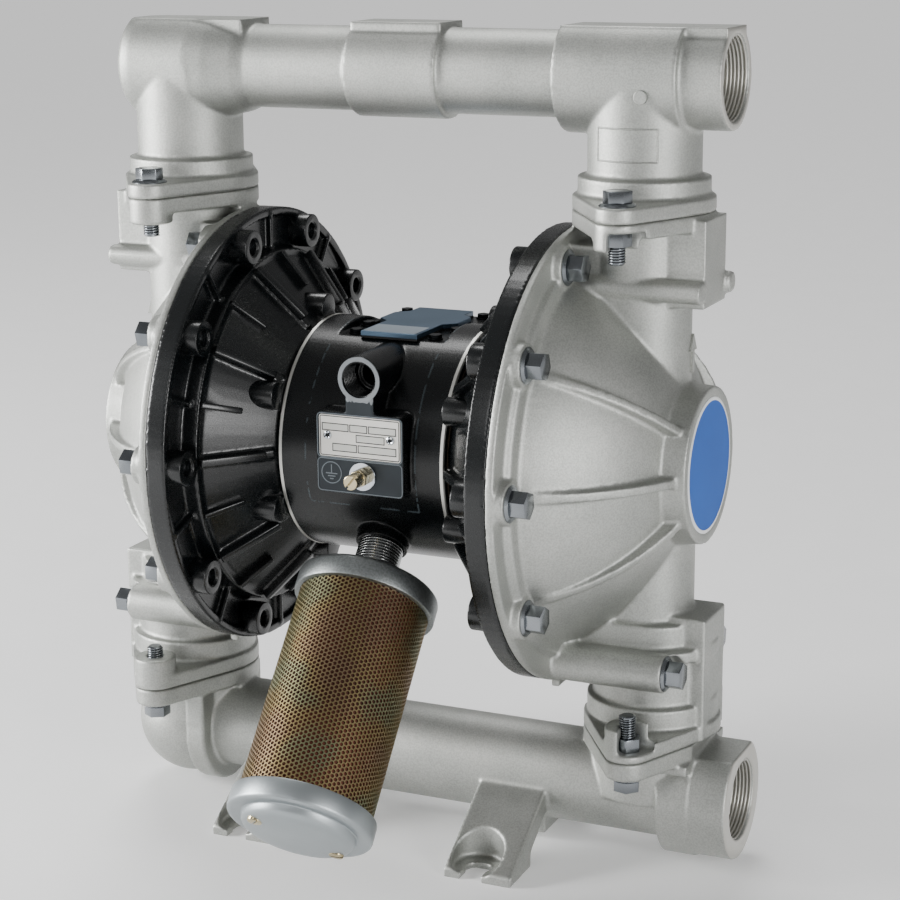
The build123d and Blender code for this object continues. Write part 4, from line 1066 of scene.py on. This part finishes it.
for half, name in zip(halves, ("perforated_sheet_front", "perforated_sheet_back")):
    half.name = name
    wear(half, yellow_zinc)
    only(half)
    bpy.ops.object.transform_apply(rotation=True)
    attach(half, "pump")
    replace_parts(half, "muffler_shell")
    settle(half, muffler_start, muffler_way, turn=pi / 2)


# Inner pieces and gaskets keep their CAD shape: turned steel, moulded plastic and rubber,
# pressed fibre, and the felt element behind the perforated sheet.
turned_steel = cast_finish(
    "turned_steel", "B4B6B8", "A2A4A6",
    rough=0.26, metallic=1.0, grain=0.3, relief=0.004,
)
moulded = cast_finish(
    "moulded_plastic", "D8D6CE", "CFCDC5",
    rough=0.48, metallic=0.0, grain=0.6, relief=0.005,
)
rubber = cast_finish(
    "black_rubber", "1B1B1C", "131314",
    rough=0.62, metallic=0.0, grain=0.5, relief=0.02,
)
ball_rubber = cast_finish(
    "ball_rubber", "2A2A2B", "202021",
    rough=0.55, metallic=0.0, grain=0.5, relief=0.01,
)
pressed_fibre = cast_finish(
    "pressed_fibre", "55483A", "463B2F",
    rough=0.85, metallic=0.0, grain=0.4, relief=0.03,
)
inner_finishes = {
    "muffler_element": felt,
    "valve_gasket": rubber,
    "left_air_cover_gasket": pressed_fibre,
    "right_air_cover_gasket": pressed_fibre,
    "left_diaphragm": rubber,
    "right_diaphragm": rubber,
}
for name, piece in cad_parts.items():
    finish = inner_finishes.get(name, turned_steel)
    if name.endswith("_ball"):
        finish = ball_rubber
    elif name.endswith(("_seat", "_bushing")) or name in ("valve_carriage", "valve_plate"):
        finish = moulded
    piece.data.materials.clear()
    piece.data.materials.append(finish)


# Camera, floor and soft studio lights. The camera stands where the photograph was taken
# from, as a perspective fit gives it.
bpy.ops.object.camera_add(location=(0.5616, -1.1972, 0.5645))
camera = bpy.context.object
aim = Euler((radians(90 - 13.957), 0, radians(24.106))).to_matrix()
camera.rotation_euler = (aim @ Matrix.Rotation(radians(-0.417), 3, "Z")).to_euler()
camera.data.sensor_width = 36.0
camera.data.lens = 89.07
camera.data.clip_end = 20.0
bpy.context.scene.camera = camera

floor = start(bpy.ops.mesh.primitive_plane_add, size=80.0, location=(0, 0, cad_bounds[0][2]))
floor.name = "studio_floor"
paper = cast_finish(
    "studio_paper", "F4F4F4", "F1F1F1",
    rough=0.9, metallic=0.0, grain=5.0, relief=0.0,
)
shader = paper.node_tree.nodes["Principled BSDF"]
shader.inputs["Emission Color"].default_value = linear("FFFFFF")
shader.inputs["Emission Strength"].default_value = 0.2
floor.data.materials.append(paper)

for name, place, power, size in (
    ("left_light", (-2.1, -1.0, 0.75), 100.0, 1.0),
    ("right_light", (1.9, -1.2, 0.6), 27.0, 0.8),
    ("front_light", (-0.3, -2.4, 1.6), 7.0, 0.8),
):
    bpy.ops.object.light_add(type="AREA", location=place)
    light = bpy.context.object
    light.name = name
    light.data.energy = power
    light.data.size = size
    aim = Vector((0, 0, 0.25)) - Vector(place)
    light.rotation_euler = aim.to_track_quat("-Z", "Y").to_euler()
bpy.ops.object.light_add(type="SUN", location=(-1, -1, 2))
sun = bpy.context.object
sun.name = "soft_sun"
sun.data.energy = 1.5
sun.data.angle = radians(25)
sun.rotation_euler = Vector((0.3, -0.45, -1.0)).to_track_quat("-Z", "Y").to_euler()

world = bpy.data.worlds.new("studio_air")
bpy.context.scene.world = world
world.use_nodes = True
sky = world.node_tree.nodes["Background"]
sky.inputs["Color"].default_value = linear("FFFFFF")
sky.inputs["Strength"].default_value = 0.26
